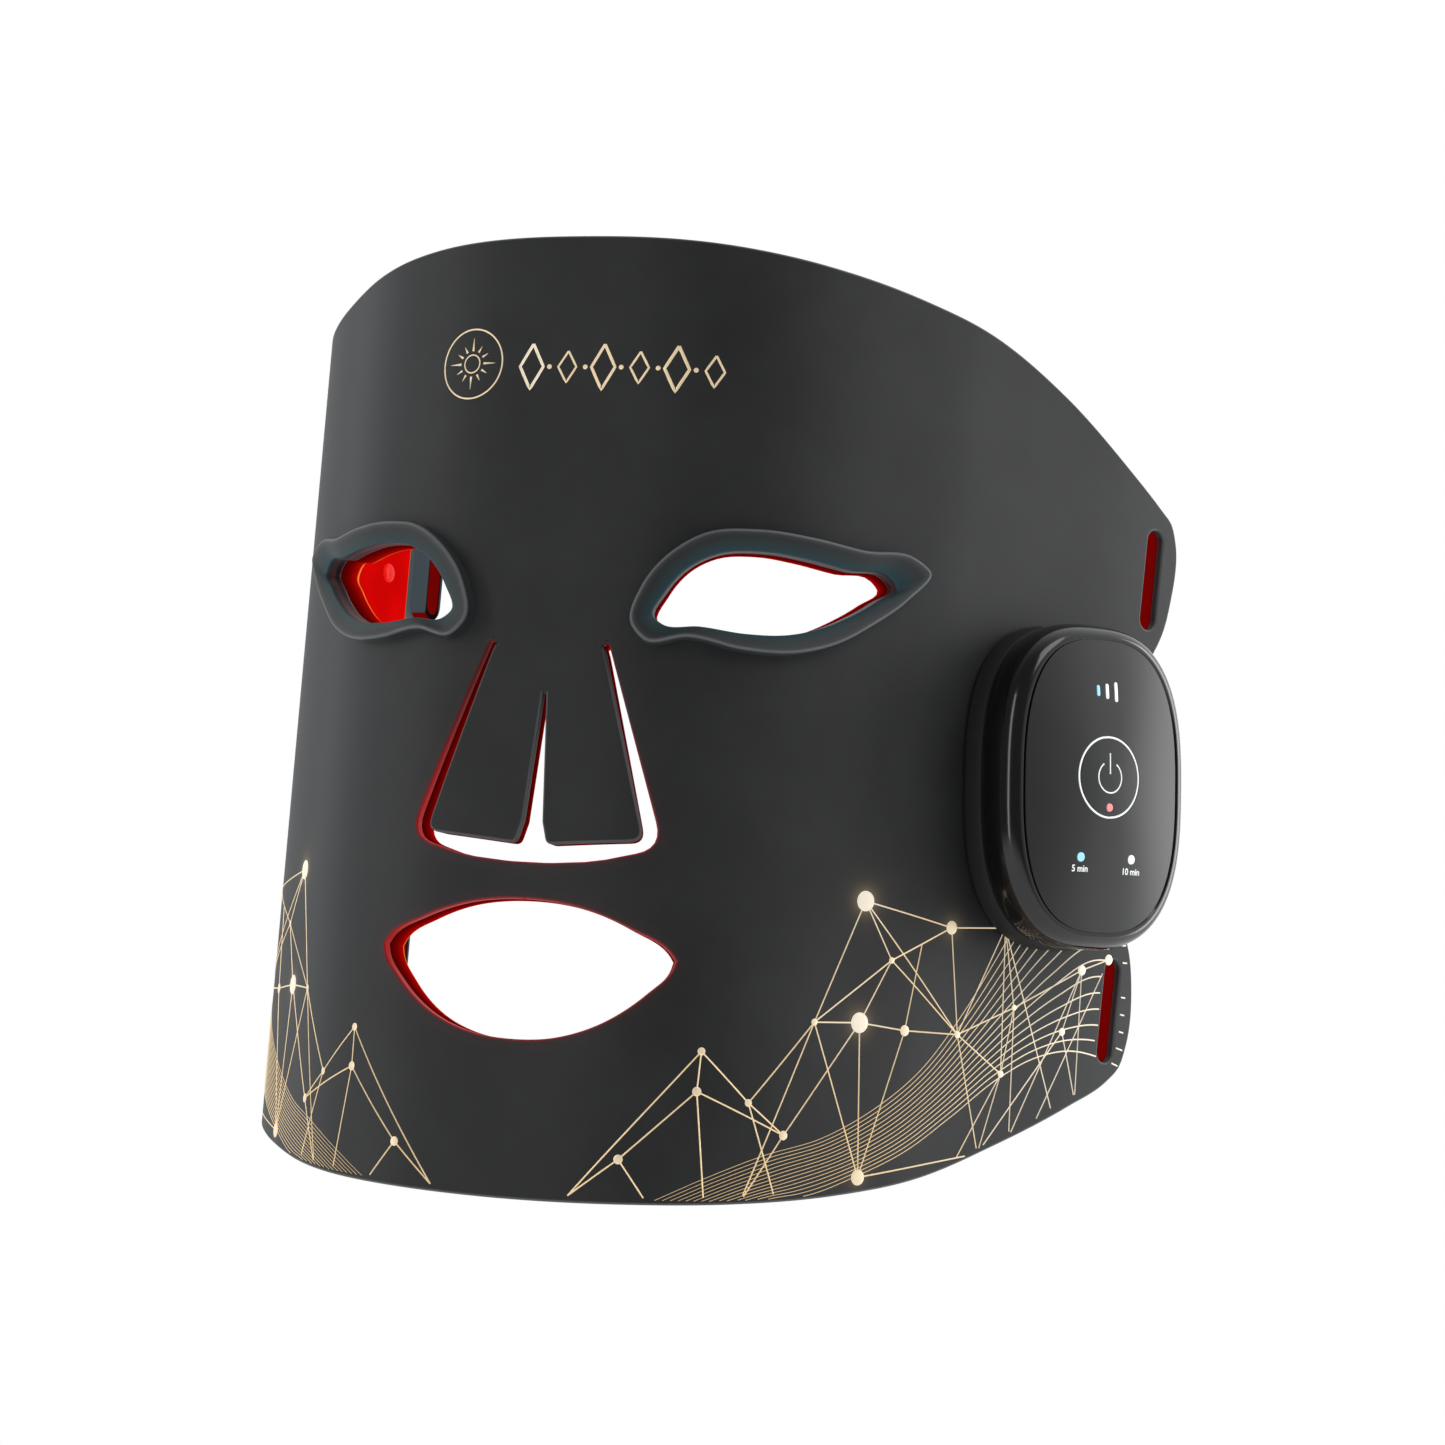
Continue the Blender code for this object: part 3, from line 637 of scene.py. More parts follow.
s, z, depth = skin_finish.parts(flat)
s = skin_finish.node("Math", {"operation": "ABSOLUTE"}, {0: s})
# Painted warm glow round the biggest printed dots.
dot_glow_and_film_haze = 0.0
for dot_s, dot_z, power in PAINTED_GLOW_DOTS:
    away = (s - dot_s) ** 2.0 + (z - dot_z) ** 2.0
    dot_glow_and_film_haze = dot_glow_and_film_haze + power / (1.0 + away / 7.0) ** 2.0
lower = skin_finish.ease(z, 72.0, 112.0, 1.0, 0.25)
# Painted red light spilling from the nose and mouth, strongest on the cut walls and low on the face.
red = skin_finish.mix(glow ** 2.0 * lower * (0.018 + wall * 0.3), BLACK, (1.0, 0.0, 0.002))
# Painted cold bounce of light on the inner side of the strap tabs.
tab = skin_finish.ease(s, 136.2, 137.0) * skin_finish.ease(depth * -1.0, 1.5, 1.95) * (1.0 - wall)
red = skin_finish.mix(1.0, red, skin_finish.mix(tab, BLACK, BOUNCE), "ADD")
warm = skin_finish.mix(dot_glow_and_film_haze * 0.3, BLACK, (1.0, 0.72, 0.38))
skin_finish.feed("Emission Color", skin_finish.mix(1.0, red, warm, "ADD"))

# %% [markdown]
# ## Glowing red lining
# The inner layer is translucent red silicone lit from inside by light strips. Light
# gathers where the layer is cut: the cut walls are deep red by the skin, bright red
# further in, and almost orange along the inner edge. Real scattering would be slow to
# render, so the colour of the glow follows the depth that each point keeps.

# %% Lining finish
lining_finish = Finish("glowing red lining", Emission_Strength=1.0, Specular_IOR_Level=0.0)
flat = lining_finish.flat()
s, z, depth = lining_finish.parts(flat)
s = lining_finish.node("Math", {"operation": "ABSOLUTE"}, {0: s})
inward = lining_finish.ease(depth * -1.0, 1.9, 5.9)
patches = lining_finish.grain(flat, 0.06, 2.0)
grain = lining_finish.grain(flat, 1.8, 3.0)
# Towards its end the lining turns black and stops glowing.
dark_end = lining_finish.ease(s, 135.4, 135.9)
tab = lining_finish.ease(s, 137.0, 138.0)
sleeve = tab * lining_finish.ease((s - 147.7) ** 2.0, 7.8, 10.2, 1.0, 0.0)
wall = lining_finish.fact("wall")
reach = lining_finish.ease(s, 88.0, 134.0, 0.55, 1.0)
level = (0.16 + inward * 0.62) * (0.35 + patches * 0.9) * reach
level = level * (1.0 - wall * 0.55 * (1.0 - inward ** 2.0))
level = level * (1.0 - dark_end) * lining_finish.ease(grain, 0.1, 0.9, 0.94, 1.06)
level = level + sleeve * wall * 0.16
red = lining_finish.mix(level, BLACK, (0.95, 0.001, 0.001))
hot = lining_finish.fact("edge") * lining_finish.ease(depth * -1.0, 3.4, 4.1) * (1.0 - dark_end)
# Painted cold bounce of light at the strap tabs, except round the slots themselves.
red = lining_finish.mix(tab * (1.0 - sleeve), red, BOUNCE)
lining_finish.feed("Emission Color", lining_finish.mix(hot, red, (1.0, 0.3, 0.045)))
lining_finish.feed("Base Color", lining_finish.mix(dark_end, (0.12, 0.001, 0.001), (0.004, 0.004, 0.004)))
lining_finish.feed("Roughness", 0.3 + patches * 0.12 + grain * 0.08)
lining_finish.bump(grain, 0.12, 0.00008)

# %% [markdown]
# ## The outline of half a mask
# Each half of the skin is one sheet from the middle to its strap tab. The middle seam
# is flush, and so is the short sloping line that each nose flap hangs from. The wing
# joint is inside the sheet, so the sheet bends there like the real silicone.

# %% Skin outlines
TOP, NOSE_TOP, NOSE_FOOT, LIP_TOP, LIP_FOOT = 203.0, 104.3, 69.1, 61.4, 32.5
MIDDLE_TOP = (0, TOP)
BROW = [(25, 202.3), (51, 200.6), (76, 198), (97, 193.8), (117, 185.5), (138, 173)]
UPPER_TAB = [(149, 166), (152.4, 163.6), (154.4, 159.5), (154.6, 145), (153.4, 139), (149, 130)]
NOTCH = [(144, 122), (142, 112), (142, 90), (144, 80)]
LOWER_TAB = [(149, 72), (152.6, 65.5), (154.5, 58), (154.6, 45), (152.8, 39.7), (149.3, 36.4)]
JAW = [(138, 30), (117, 19.8), (97, 11.6), (76, 6.5), (51, 2.8), (25, 0.7)]
EYE = [(22.2, 121.4), (24.2, 126.7), (28.5, 132.2), (34.5, 135.7), (43.2, 137.1), (53, 136.9),
       (63, 136.2), (72.5, 136.2), (74.3, 134.6), (69.8, 130.6), (63, 126), (56.3, 122.5),
       (49.4, 120.3), (41, 119.5), (31.6, 120), (24, 119.9)]
EYE_RIM = [(17.9, 119.4), (19.4, 127.5), (24.6, 135), (31.5, 139.8), (41, 141.5), (53, 141.5),
           (65, 140.8), (77.5, 141.4), (82, 138.9), (77, 132), (69, 125.4), (60, 119.6),
           (50.5, 116.4), (40, 115.9), (29.5, 117.3), (21.2, 115.9)]
MOUTH = [(-12, 60.2), (0, LIP_TOP), (12, 60.2), (23, 56.7), (32.5, 51.9), (33.35, 50.8),
         (32.98, 49.4), (28, 43.6), (18, 36.4), (9, 33.3), (0, LIP_FOOT), (-9, 33.3)]
NOSE_LINE = [(0.0, NOSE_TOP), (12.2, 115.4)]
NOSE = [*NOSE_LINE, (13.2, 115.0), (28.5, 73.6), (14.5, 69.9), (4.5, NOSE_FOOT), (0, NOSE_FOOT),
        (-12, 70.2), (-6, 80.0)]
NOSE_RADII = [0, 0.25, 0.3, 5.2, 25, 25, 0, 0, 0]
SLOT_S, SLOT_HEIGHTS = 147.7, (149.6, 52.0)
SLOT_HALF = (2.4, 11.4)
SKIN_DEPTHS = (0.0, -2.0)
SKIN_EDGE = 0.55


def right_of_middle(curve):
    """Keep the part of a curve on one side of the middle."""
    return curve[curve[:, 0] > -1e-6]


def seam(start, end, step=1.6):
    """Points down the middle between two heights, without its ends."""
    count = max(2, round(abs(end - start) / step))
    heights = np.linspace(start, end, count + 1)[1:-1]
    return np.column_stack([heights * 0, heights])


rim = [(-25, 0.7), (0, 0), *JAW[::-1], *LOWER_TAB[::-1], *NOTCH[::-1], *UPPER_TAB[::-1],
       *BROW[::-1], MIDDLE_TOP, (-25, 202.3)]
rim_curve = right_of_middle(soft(rim, 1.6, closed=False))
mouth_curve = right_of_middle(soft(MOUTH, 1.0, closed=False))
nose_curve = right_of_middle(arc_corners(NOSE, NOSE_RADII, 1.1))
skin_half = np.vstack([rim_curve, seam(TOP, NOSE_TOP), nose_curve, seam(NOSE_FOOT, LIP_TOP),
                       mouth_curve, seam(LIP_FOOT, 0.0)])
eye_curve = soft(EYE, parts=5)
slot_curves = [racetrack((SLOT_S, height), *SLOT_HALF) for height in SLOT_HEIGHTS]


def stays_square(mids):
    """The middle seam and the line that a nose flap hangs from."""
    s, z = np.abs(mids[:, 0]), mids[:, 1]
    (s0, z0), (s1, z1) = NOSE_LINE
    off_line = np.abs((s - s0) * (z1 - z0) - (z - z0) * (s1 - s0)) / math.hypot(s1 - s0, z1 - z0)
    return (s < 1e-4) | ((off_line < 0.02) & (z > 104) & (z < 115.4))


def spill_light(s, z):
    """Light from the nose and mouth, by distance in mm."""
    source = np.vstack([nose_curve[nose_curve[:, 1] < 104], nose_curve[nose_curve[:, 0] > 12.6],
                        mouth_curve])
    return np.exp(-nearest(np.column_stack([np.abs(s), z]), source) / 2.0)


# %% Lay the two halves of the skin
SIDES = (("left", 1), ("right", -1))
WING_BEND = (86.5, 97.5)


def on_wing(piece, label, side, *nodes):
    """Bend a piece with the wing's joint and let it stand for CAD nodes."""
    start, end = bend([side * WING_BEND[0], side * WING_BEND[1]], 100.0) * MM
    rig.blend(piece, "mask", label + "_wing", start=tuple(start), end=tuple(end))
    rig.replaces(piece, *nodes)


for label, side in SIDES:
    outlines = [outline * (side, 1) for outline in (skin_half, eye_curve, *slot_curves)]
    skin = sheet("skin_" + label, outlines, bend, *SKIN_DEPTHS, SKIN_EDGE, 2.4, skin_finish,
                 flush=stays_square, facts={"glow": spill_light})
    on_wing(skin, label, side, "front_skin", "wing_skin_" + label)
    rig.slot(skin, "wing_skin_" + label)

# %% [markdown]
# ## The lining
# The lining is one thick soft layer behind the skin. It stops short of the outer edge
# so that the skin can hide it, and short of the strap tabs, where the mask is thinner.

# %% Lining sheets
LINING_DEPTHS = (-1.9, -6.2)
LINING_EDGE = 0.65
LINING_INSET = 2.5
LINING_END = 136.0
lining_rim = soft([(-25, 0.7 + LINING_INSET), (0, LINING_INSET)]
                  + [(s, z + LINING_INSET) for s, z in JAW[::-1]][:6]
                  + [(150, 36)], 1.6, closed=False)
lining_top = soft([(150, 160)] + [(s, z - LINING_INSET) for s, z in BROW[::-1]]
                  + [(0, TOP - LINING_INSET), (-25, 202.3 - LINING_INSET)], 1.6, closed=False)
jaw_part = right_of_middle(lining_rim[lining_rim[:, 0] < LINING_END - 0.8])
brow_part = right_of_middle(lining_top[lining_top[:, 0] < LINING_END - 0.8])
end_low = np.interp(LINING_END, lining_rim[:, 0], lining_rim[:, 1])
end_high = np.interp(-LINING_END, -lining_top[:, 0], lining_top[:, 1])
end_side = np.column_stack([np.full(70, LINING_END), np.linspace(end_low, end_high, 70)])
lining_half = np.vstack([jaw_part, end_side, brow_part, seam(TOP - LINING_INSET, NOSE_TOP),
                         nose_curve, seam(NOSE_FOOT, LIP_TOP), mouth_curve, seam(LIP_FOOT, LINING_INSET)])
for label, side in SIDES:
    outlines = [outline * (side, 1) for outline in (lining_half, eye_curve)]
    lining = sheet("lining_" + label, outlines, bend, *LINING_DEPTHS, LINING_EDGE, 3.0, lining_finish,
                   flush=stays_square)
    on_wing(lining, label, side, "liner_centre", "carrier_centre", "liner_" + label,
            "carrier_" + label)
    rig.slot(lining, "liner_" + label)

# %% [markdown]
# ## Nose flaps
# Slits in the skin leave two flaps that lift when the mask sits on a nose. Each flap
# is part of the skin at its sloping top line and free below it, so its top stays
# square and at rest the line can't be seen. It bends over a few millimetres.

# %% Flap sheets
FLAP = [(0.35, 104.62), (11.8, 115.04), (12.6, 113.2), (24.5, 74.7), (3.4, 72.9), (2.1, 77.6)]
FLAP_RADII = [0, 0.3, 0, 2.6, 1.6, 1.0]
FLAP_BEND = 5.0
FLAP_LINER_DEPTHS = (-1.9, -4.4)
FLAP_GLOW = 0.55
line_s, line_z = NOSE_LINE[1][0] - NOSE_LINE[0][0], NOSE_LINE[1][1] - NOSE_LINE[0][1]
line_length = math.hypot(line_s, line_z)
flap_start = np.mean(NOSE_LINE, axis=0)
flap_end = flap_start + np.array([line_z, -line_s]) / line_length * FLAP_BEND
flap_curve = arc_corners(FLAP, FLAP_RADII, 1.0)
for label, side in SIDES:
    start, end = [tuple(bend([side * s], z)[0] * MM) for s, z in (flap_start, flap_end)]
    flap_parts = (("nose_flap_", SKIN_DEPTHS, SKIN_EDGE, 1.8, skin_finish),
                  ("flap_liner_", FLAP_LINER_DEPTHS, 0.4, 2.4, lining_finish))
    for kind, depths, edge, net, finish in flap_parts:
        outline = flap_curve * (side, 1)
        flap = sheet(kind + "piece_" + label, [outline], bend, *depths, edge, net, finish,
                     flush=stays_square, facts={"glow": lambda s, z: spill_light(s, z) * FLAP_GLOW})
        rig.blend(flap, "mask", label + "_flap", start=start, end=end)
        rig.replaces(flap, kind + label)
        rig.slot(flap, kind + label)

# %% [markdown]
# ## Lofts
# A loft joins a row of rings. It suits everything whose section changes slowly: the
# eye collars, and the pod's shell with its rounded shoulders.

# %% Loft builder
def loft(name, rings, finish, closed=False, facts=None, sharp=38):
    """Join rings of points in mm; closed joins the last ring to the first."""
    count = len(rings[0])
    order = list(range(len(rings))) + ([0] if closed else [])
    faces = []
    for a, b in zip(order, order[1:]):
        for i in range(count):
            j = (i + 1) % count
            faces.append([a * count + i, a * count + j, b * count + j, b * count + i])
    if not closed:
        faces.append(list(range(count))[::-1])
        faces.append(list(range((len(rings) - 1) * count, len(rings) * count)))
    piece = new_piece(name, np.vstack(rings), faces, finish, facts)
    turn_outwards(piece)
    piece.data.set_sharp_from_angle(angle=math.radians(sharp))
    return piece


# %% [markdown]
# ## Eye collars
# A soft raised collar keeps light out of each eye. It stands three millimetres proud
# with a dark outer wall, a painted highlight along its rounded shoulder, and a face that
# slopes down to the opening with a painted cold teal reflection from the inside of the eye.
# Its inner wall by the opening carries a painted red glow.

# %% Collar finish and pieces
collar_finish = Finish("eye collar silicone", Sheen_Weight=0.08, Sheen_Roughness=0.4,
                       Specular_IOR_Level=0.45, Emission_Strength=1.0)
flat = collar_finish.flat()
s, z, depth = collar_finish.parts(flat)
patches = collar_finish.grain(flat, 0.09, 3.0)
grain = collar_finish.grain(flat, 2.8, 3.0)
# Painted reflection: a cold teal on the face that slopes down to the opening.
slope = collar_finish.ease(depth, 1.7, 3.0, 1.0, 0.0) * collar_finish.fact("face")
edge = collar_finish.fact("edge")
tone = collar_finish.mix(slope * (0.6 + patches * 0.6), (0.026, 0.03, 0.032), (0.006, 0.05, 0.062))
# Painted highlight: a pale line along the rounded shoulder.
tone = collar_finish.mix(edge * 0.9, tone, (0.2, 0.215, 0.225))
collar_finish.feed("Base Color", tone)
collar_finish.feed("Roughness", 0.42 + grain * 0.1 + patches * 0.06)
collar_finish.bump(grain, 0.14, 0.00006)
# Painted red glow on the inner wall by the opening.
throat = collar_finish.ease(depth, 0.2, 1.2, 1.0, 0.0) * collar_finish.fact("throat")
collar_finish.feed("Emission Color", collar_finish.mix(throat, BLACK, (0.035, 0.001, 0.001)))

COLLAR = [(-0.3, 0, -0.35, 0), (-0.12, 0, 0.15, 0), (0, 0, 0.6, 0), (0, 0, 2.35, 0),
          (0.06, 0, 2.7, 0.35), (0.25, 0, 3.0, 0.9), (0.55, 0, 3.12, 0.7), (0.85, 0, 3.1, 0.15),
          (0.85, 0.2, 2.95, 0), (0.85, 0.45, 2.6, 0), (0.85, 0.7, 2.2, 0), (0.85, 0.9, 1.82, 0),
          (0.85, 0.97, 1.66, 0.15), (0.85, 1, 1.45, 0.15), (0.85, 1, 0.6, 0), (0.85, 1, -0.4, 0)]
hole_ring, rim_ring = soft(EYE, parts=9), soft(EYE_RIM, parts=9)
for label, side in SIDES:
    inward = shift(rim_ring, 1.0 if area(rim_ring) > 0 else -1.0)
    rings, flats = [], []
    for inset, share, height, _ in COLLAR:
        base = rim_ring + inward * inset
        ring = (base + (hole_ring - base) * share) * (side, 1)
        rings.append(bend(ring[:, 0], ring[:, 1], height))
        flats.append(np.column_stack([ring, np.full(len(ring), height)]))
    facts = {"flat": np.vstack(flats), "edge": np.repeat([row[3] for row in COLLAR], len(hole_ring))}
    for key, first in (("face", 7), ("throat", 12)):
        facts[key] = np.repeat([float(k >= first) for k in range(len(COLLAR))], len(hole_ring))
    collar = loft("eye_collar_piece_" + label, rings, collar_finish, True, facts, 60)
    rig.replaces(collar, "eye_collar_" + label)
    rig.slot(collar, "eye_collar_" + label)
    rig.ride(collar, "mask")

# %% [markdown]
# ## Light lenses and slot sleeves
# On the face side every light shines through a small soft lens. The strap slots have
# a red sleeve, the same stuff as the lining, so that a strap doesn't wear the skin.

# %% Lens and sleeve pieces
LIGHTS = ([(s, z) for s in (15, 45, 81) for z in (164, 175, 185)]
          + [(s, z) for s in (52, 69) for z in (24, 33, 42)]
          + [(s, z) for s in (39, 58, 81) for z in (76, 88, 100)]
          + [(s, z) for s in (106, 127) for z in (112, 144, 160)])
lens_finish = Finish("light lens", Emission_Strength=1.0, Specular_IOR_Level=0.1,
                     Base_Color=(0.15, 0.003, 0.002, 1.0))
cloud = lens_finish.grain(lens_finish.place(), 900.0, 2.0)
lens_finish.feed("Emission Color", lens_finish.mix(cloud, (0.62, 0.002, 0.001), (0.85, 0.014, 0.006)))
lens_finish.feed("Roughness", 0.18 + cloud * 0.12)
lens_finish.bump(cloud, 0.1, 0.00005)
LENS_RINGS = [(2.3, -6.1), (2.25, -6.35), (2.0, -6.6), (1.5, -6.75), (0.8, -6.82)]


class Batch:
    """Many small shapes gathered into one mesh."""

    def __init__(self, place):
        self.place = place
        self.points, self.flats, self.faces, self.facts = [], [], [], []
        self.count = 0

    def add(self, flat, depth, faces, fact):
        """Add points by their flat place and depth, and the faces between them."""
        self.faces += [[self.count + i for i in face] for face in faces]
        depth = np.broadcast_to(depth, len(flat))
        self.points.append(self.place(flat[:, 0], flat[:, 1], depth))
        self.flats.append(np.column_stack([flat, depth]))
        self.facts.append(np.broadcast_to(fact, len(flat)))
        self.count += len(flat)

    def button(self, centre, rings, fact=0.0, count=20):
        """A small dome from rings of radius and depth."""
        flat = np.vstack([circle(centre, radius, count) for radius, _ in rings] + [[centre]])
        depth = np.repeat([row[1] for row in rings] + [rings[-1][1]], [count] * len(rings) + [1])
        faces = [[k * count + i, k * count + (i + 1) % count, (k + 1) * count + (i + 1) % count,
                  (k + 1) * count + i] for k in range(len(rings) - 1) for i in range(count)]
        last = (len(rings) - 1) * count
        faces += [[last + i, last + (i + 1) % count, len(flat) - 1] for i in range(count)]
        faces.append(list(range(count))[::-1])
        self.add(flat, depth, faces, fact)

    def ribbon(self, line, width, crest, root=-0.04, fact=0.0):
        """A fine raised line with a ridge along its middle."""
        line = np.asarray(line, float)
        along = np.gradient(line, axis=0)
        along = along / np.linalg.norm(along, axis=1)[:, None]
        across = np.column_stack([-along[:, 1], along[:, 0]])
        half = np.broadcast_to(width, len(line))[:, None] / 2
        count = len(line)
        flat = np.vstack([line + across * half, line, line - across * half])
        depth = np.repeat([root, crest, root], count)
        faces = []
        for i in range(count - 1):
            for a, b in ((0, count), (count, 2 * count), (2 * count, 0)):
                faces.append([a + i, b + i, b + i + 1, a + i + 1])
        faces += [[0, 2 * count, count], [count - 1, 2 * count - 1, 3 * count - 1]]
        self.add(flat, depth, faces, np.tile(np.broadcast_to(fact, count), 3))

    def piece(self, name, finish):
        """The finished object, with faces turned outwards."""
        piece = new_piece(name, np.vstack(self.points), self.faces, finish,
                          {"flat": np.vstack(self.flats), "shine": np.concatenate(self.facts)})
        turn_outwards(piece)
        return piece


SLEEVE_DEPTHS = (-1.8, -5.9)
for label, side in SIDES:
    lenses = Batch(bend)
    for s, z in LIGHTS:
        lenses.button((side * s, z), LENS_RINGS)
    on_wing(lenses.piece("light_lenses_" + label, lens_finish), label, side)
    for number, height in enumerate(SLOT_HEIGHTS, 1):
        centre = (side * SLOT_S, height)
        loops = [racetrack(centre, SLOT_HALF[0] + grow, SLOT_HALF[1] + grow) for grow in (1.6, -0.1)]
        sleeve = sheet(f"slot_sleeve_{label}_{number}", loops, bend, *SLEEVE_DEPTHS, 0.35, 2.0,
                       lining_finish)
        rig.slot(sleeve, "liner_" + label)
        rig.ride(sleeve, label + "_wing")

# %% [markdown]
# ## Gold print
# The print is a net of dots and lines with a ribbon of waves running through it. It
# is foil pressed into the silicone, so it is modelled as fine raised ribbons and low
# domes rather than painted on: it keeps its place when the wing bends, and its ridge
# catches the light. The two halves are mirror images.

# %% Gold finish
gold_finish = Finish("gold print", Emission_Strength=1.0, Specular_IOR_Level=0.5)
flat = gold_finish.flat()
# shine is painted light: where it is high, the print is paler and so is its glow.
shine = gold_finish.fact("shine")
wear = gold_finish.grain(flat, 0.5, 4.0, 0.7)
foil = gold_finish.grain(flat, 4.0, 3.0)
tone = gold_finish.mix(wear, (0.62, 0.45, 0.25), (0.86, 0.7, 0.45))
# Painted highlight: a paler gold where the painted shine is high.
gold_finish.feed("Base Color", gold_finish.mix(shine * 0.7, tone, (0.95, 0.88, 0.72)))
gold_finish.feed("Roughness", 0.32 + wear * 0.15)
gold_finish.feed("Metallic", 0.35 + foil * 0.3)
# Painted glow: the print emits light of its own, varied a little by the wear noise.
lit = gold_finish.mix(shine, (0.42, 0.29, 0.13), (0.42, 0.39, 0.34))
gold_finish.feed("Emission Color", gold_finish.mix(0.75 + wear * 0.25, BLACK, lit))
gold_finish.bump(foil, 0.1, 0.00003)

# %% Net of dots and lines
DOTS = {"A": (40.5, 33, 0.85), "B": (40.3, 24.8, 1.0), "C": (25.3, 9.8, 1.0), "D": (51.7, 23.5, 0.8),
        "E": (60.5, 17.6, 1.0), "F": (65.4, 41.4, 0.75), "G": (15.4, 1.7, 0), "H": (75.3, 67.8, 2.2),
        "K": (83.4, 56.2, 0.7), "M": (76.7, 42.4, 2.2), "N": (88.6, 41.9, 1.2), "U": (80, 10.5, 1.7),
        "W": (52, 3.5, 0), "I": (98.9, 64.9, 1.5), "J": (114.2, 66.6, 0.9), "O": (103.4, 42.5, 0.8),
        "P": (118.9, 49.8, 0.7), "Q": (116.9, 35.3, 0.8), "R": (137.8, 60, 1.2), "S": (145.9, 63.2, 1.2),
        "T": (133.6, 46, 0.9), "V": (112.4, 17.9, 0), "a": (32, 1.6, 0), "b": (44, 2.4, 0),
        "c": (60, 4.4, 0), "d": (106, 15.7, 0), "e": (121, 22.1, 0), "f": (128, 25.6, 0),
        "g": (133, 28.2, 0), "h": (139.5, 31.6, 0), "k": (91.1, 60.6, 0)}
LINKS = ("GA GC CB AB AD BE DE DF Ca Bb Dc FH FK FM FW FU EW EM HI HK HO KI KM KO MN MU NO NU Nk IJ "
         "IO JO JP JQ OP OQ OV PQ PR QV Qd VU VT RS TR Re Sf Jg Th Rh Pe").split()


def painted_shine_at(s, z):
    """Painted light on the print: brighter round the glowing dots and towards the back."""
    near = sum(np.exp(-((s - a) ** 2 + (z - b) ** 2) / 90.0) for a, b in ((75.3, 67.8), (76.7, 42.4)))
    return np.clip(0.12 + 0.55 * near + 0.75 * np.clip((s - 92) / 42, 0, 1), 0, 1)


def straight(start, end, step=2.4):
    """A line in equal short steps."""
    count = max(2, round(math.dist(start, end) / step))
    share = np.linspace(0, 1, count + 1)[:, None]
    return np.array(start) * (1 - share) + np.array(end) * share


# %% Ribbon of waves
LOW_WAVE = [(56, 3.4), (61, 4.6), (66.1, 5.5), (80.2, 11), (92.7, 17.3), (103.9, 25.1),
            (116.5, 34.4), (126.1, 39.5), (136.6, 42.1), (145.5, 41.6), (153.4, 39.9)]
HIGH_WAVE = [(33, 1.9), (44, 7.6), (56, 13), (70, 17.8), (83, 25.2), (94.5, 34.5),
             (104.5, 47.2), (112, 59), (121, 74), (134, 90), (150, 94)]
WAVES = 15
print_rim = skin_half + shift(skin_half, 0.75)
slot_keeps = [racetrack((SLOT_S, height), SLOT_HALF[0] + 0.75, SLOT_HALF[1] + 0.75)
              for height in SLOT_HEIGHTS]


def kept_runs(line):
    """Cut a line where it leaves the skin or meets a strap slot."""
    keep = inside(line, [print_rim, *slot_keeps])
    cuts = np.flatnonzero(keep[1:] != keep[:-1]) + 1
    return [run for run, on in zip(np.split(line, cuts), np.split(keep, cuts))
            if on[0] and len(run) > 2]


for label, side in SIDES:
    net = Batch(bend)
    for link in LINKS:
        a, b = DOTS[link[0]], DOTS[link[1]]
        for run in kept_runs(straight(a[:2], b[:2], 1.2)):
            net.ribbon(run * (side, 1), 0.42, 0.11, fact=painted_shine_at(*run.T))
    for s, z, radius in DOTS.values():
        if radius:
            # Painted light: the biggest dots glow in full, the others by their painted shine.
            glow = 1.0 if radius > 2 else float(painted_shine_at(s, z)) * 0.6 + 0.4
            rings = [(radius, -0.05), (radius * 0.96, 0.05), (radius * 0.7, 0.11), (radius * 0.35, 0.14)]
            net.button((side * s, z), rings, glow, 28)
    on_wing(net.piece("net_print_" + label, gold_finish), label, side)
    waves = Batch(bend)
    for wave in range(WAVES):
        share = wave / (WAVES - 1)
        stations = np.array(LOW_WAVE) * (1 - share) + np.array(HIGH_WAVE) * share
        for run in kept_runs(soft(stations, 0.7, closed=False)):
            width = np.interp(run[:, 0], [30, 70, 110, 150], [0.15, 0.2, 0.32, 0.46])
            waves.ribbon(run * (side, 1), width, 0.1, fact=painted_shine_at(*run.T))
    on_wing(waves.piece("wave_print_" + label, gold_finish), label, side)

# %% [markdown]
# ## Forehead ornament
# The forehead carries a gold ornament of plain geometry: a ring round a small sun,
# and a row of upright lozenges. It means nothing and belongs to nobody.

# %% Ornament
SUN_AT, SUN_RING = (-23.6, 175.2), 7.3
LOZENGES = [-9.5 + 7.9 * k for k in range(6)]
ornament = Batch(bend)
turns = np.linspace(0, 2 * math.pi, 73)
ring = np.column_stack([np.cos(turns), np.sin(turns) * 1.04])
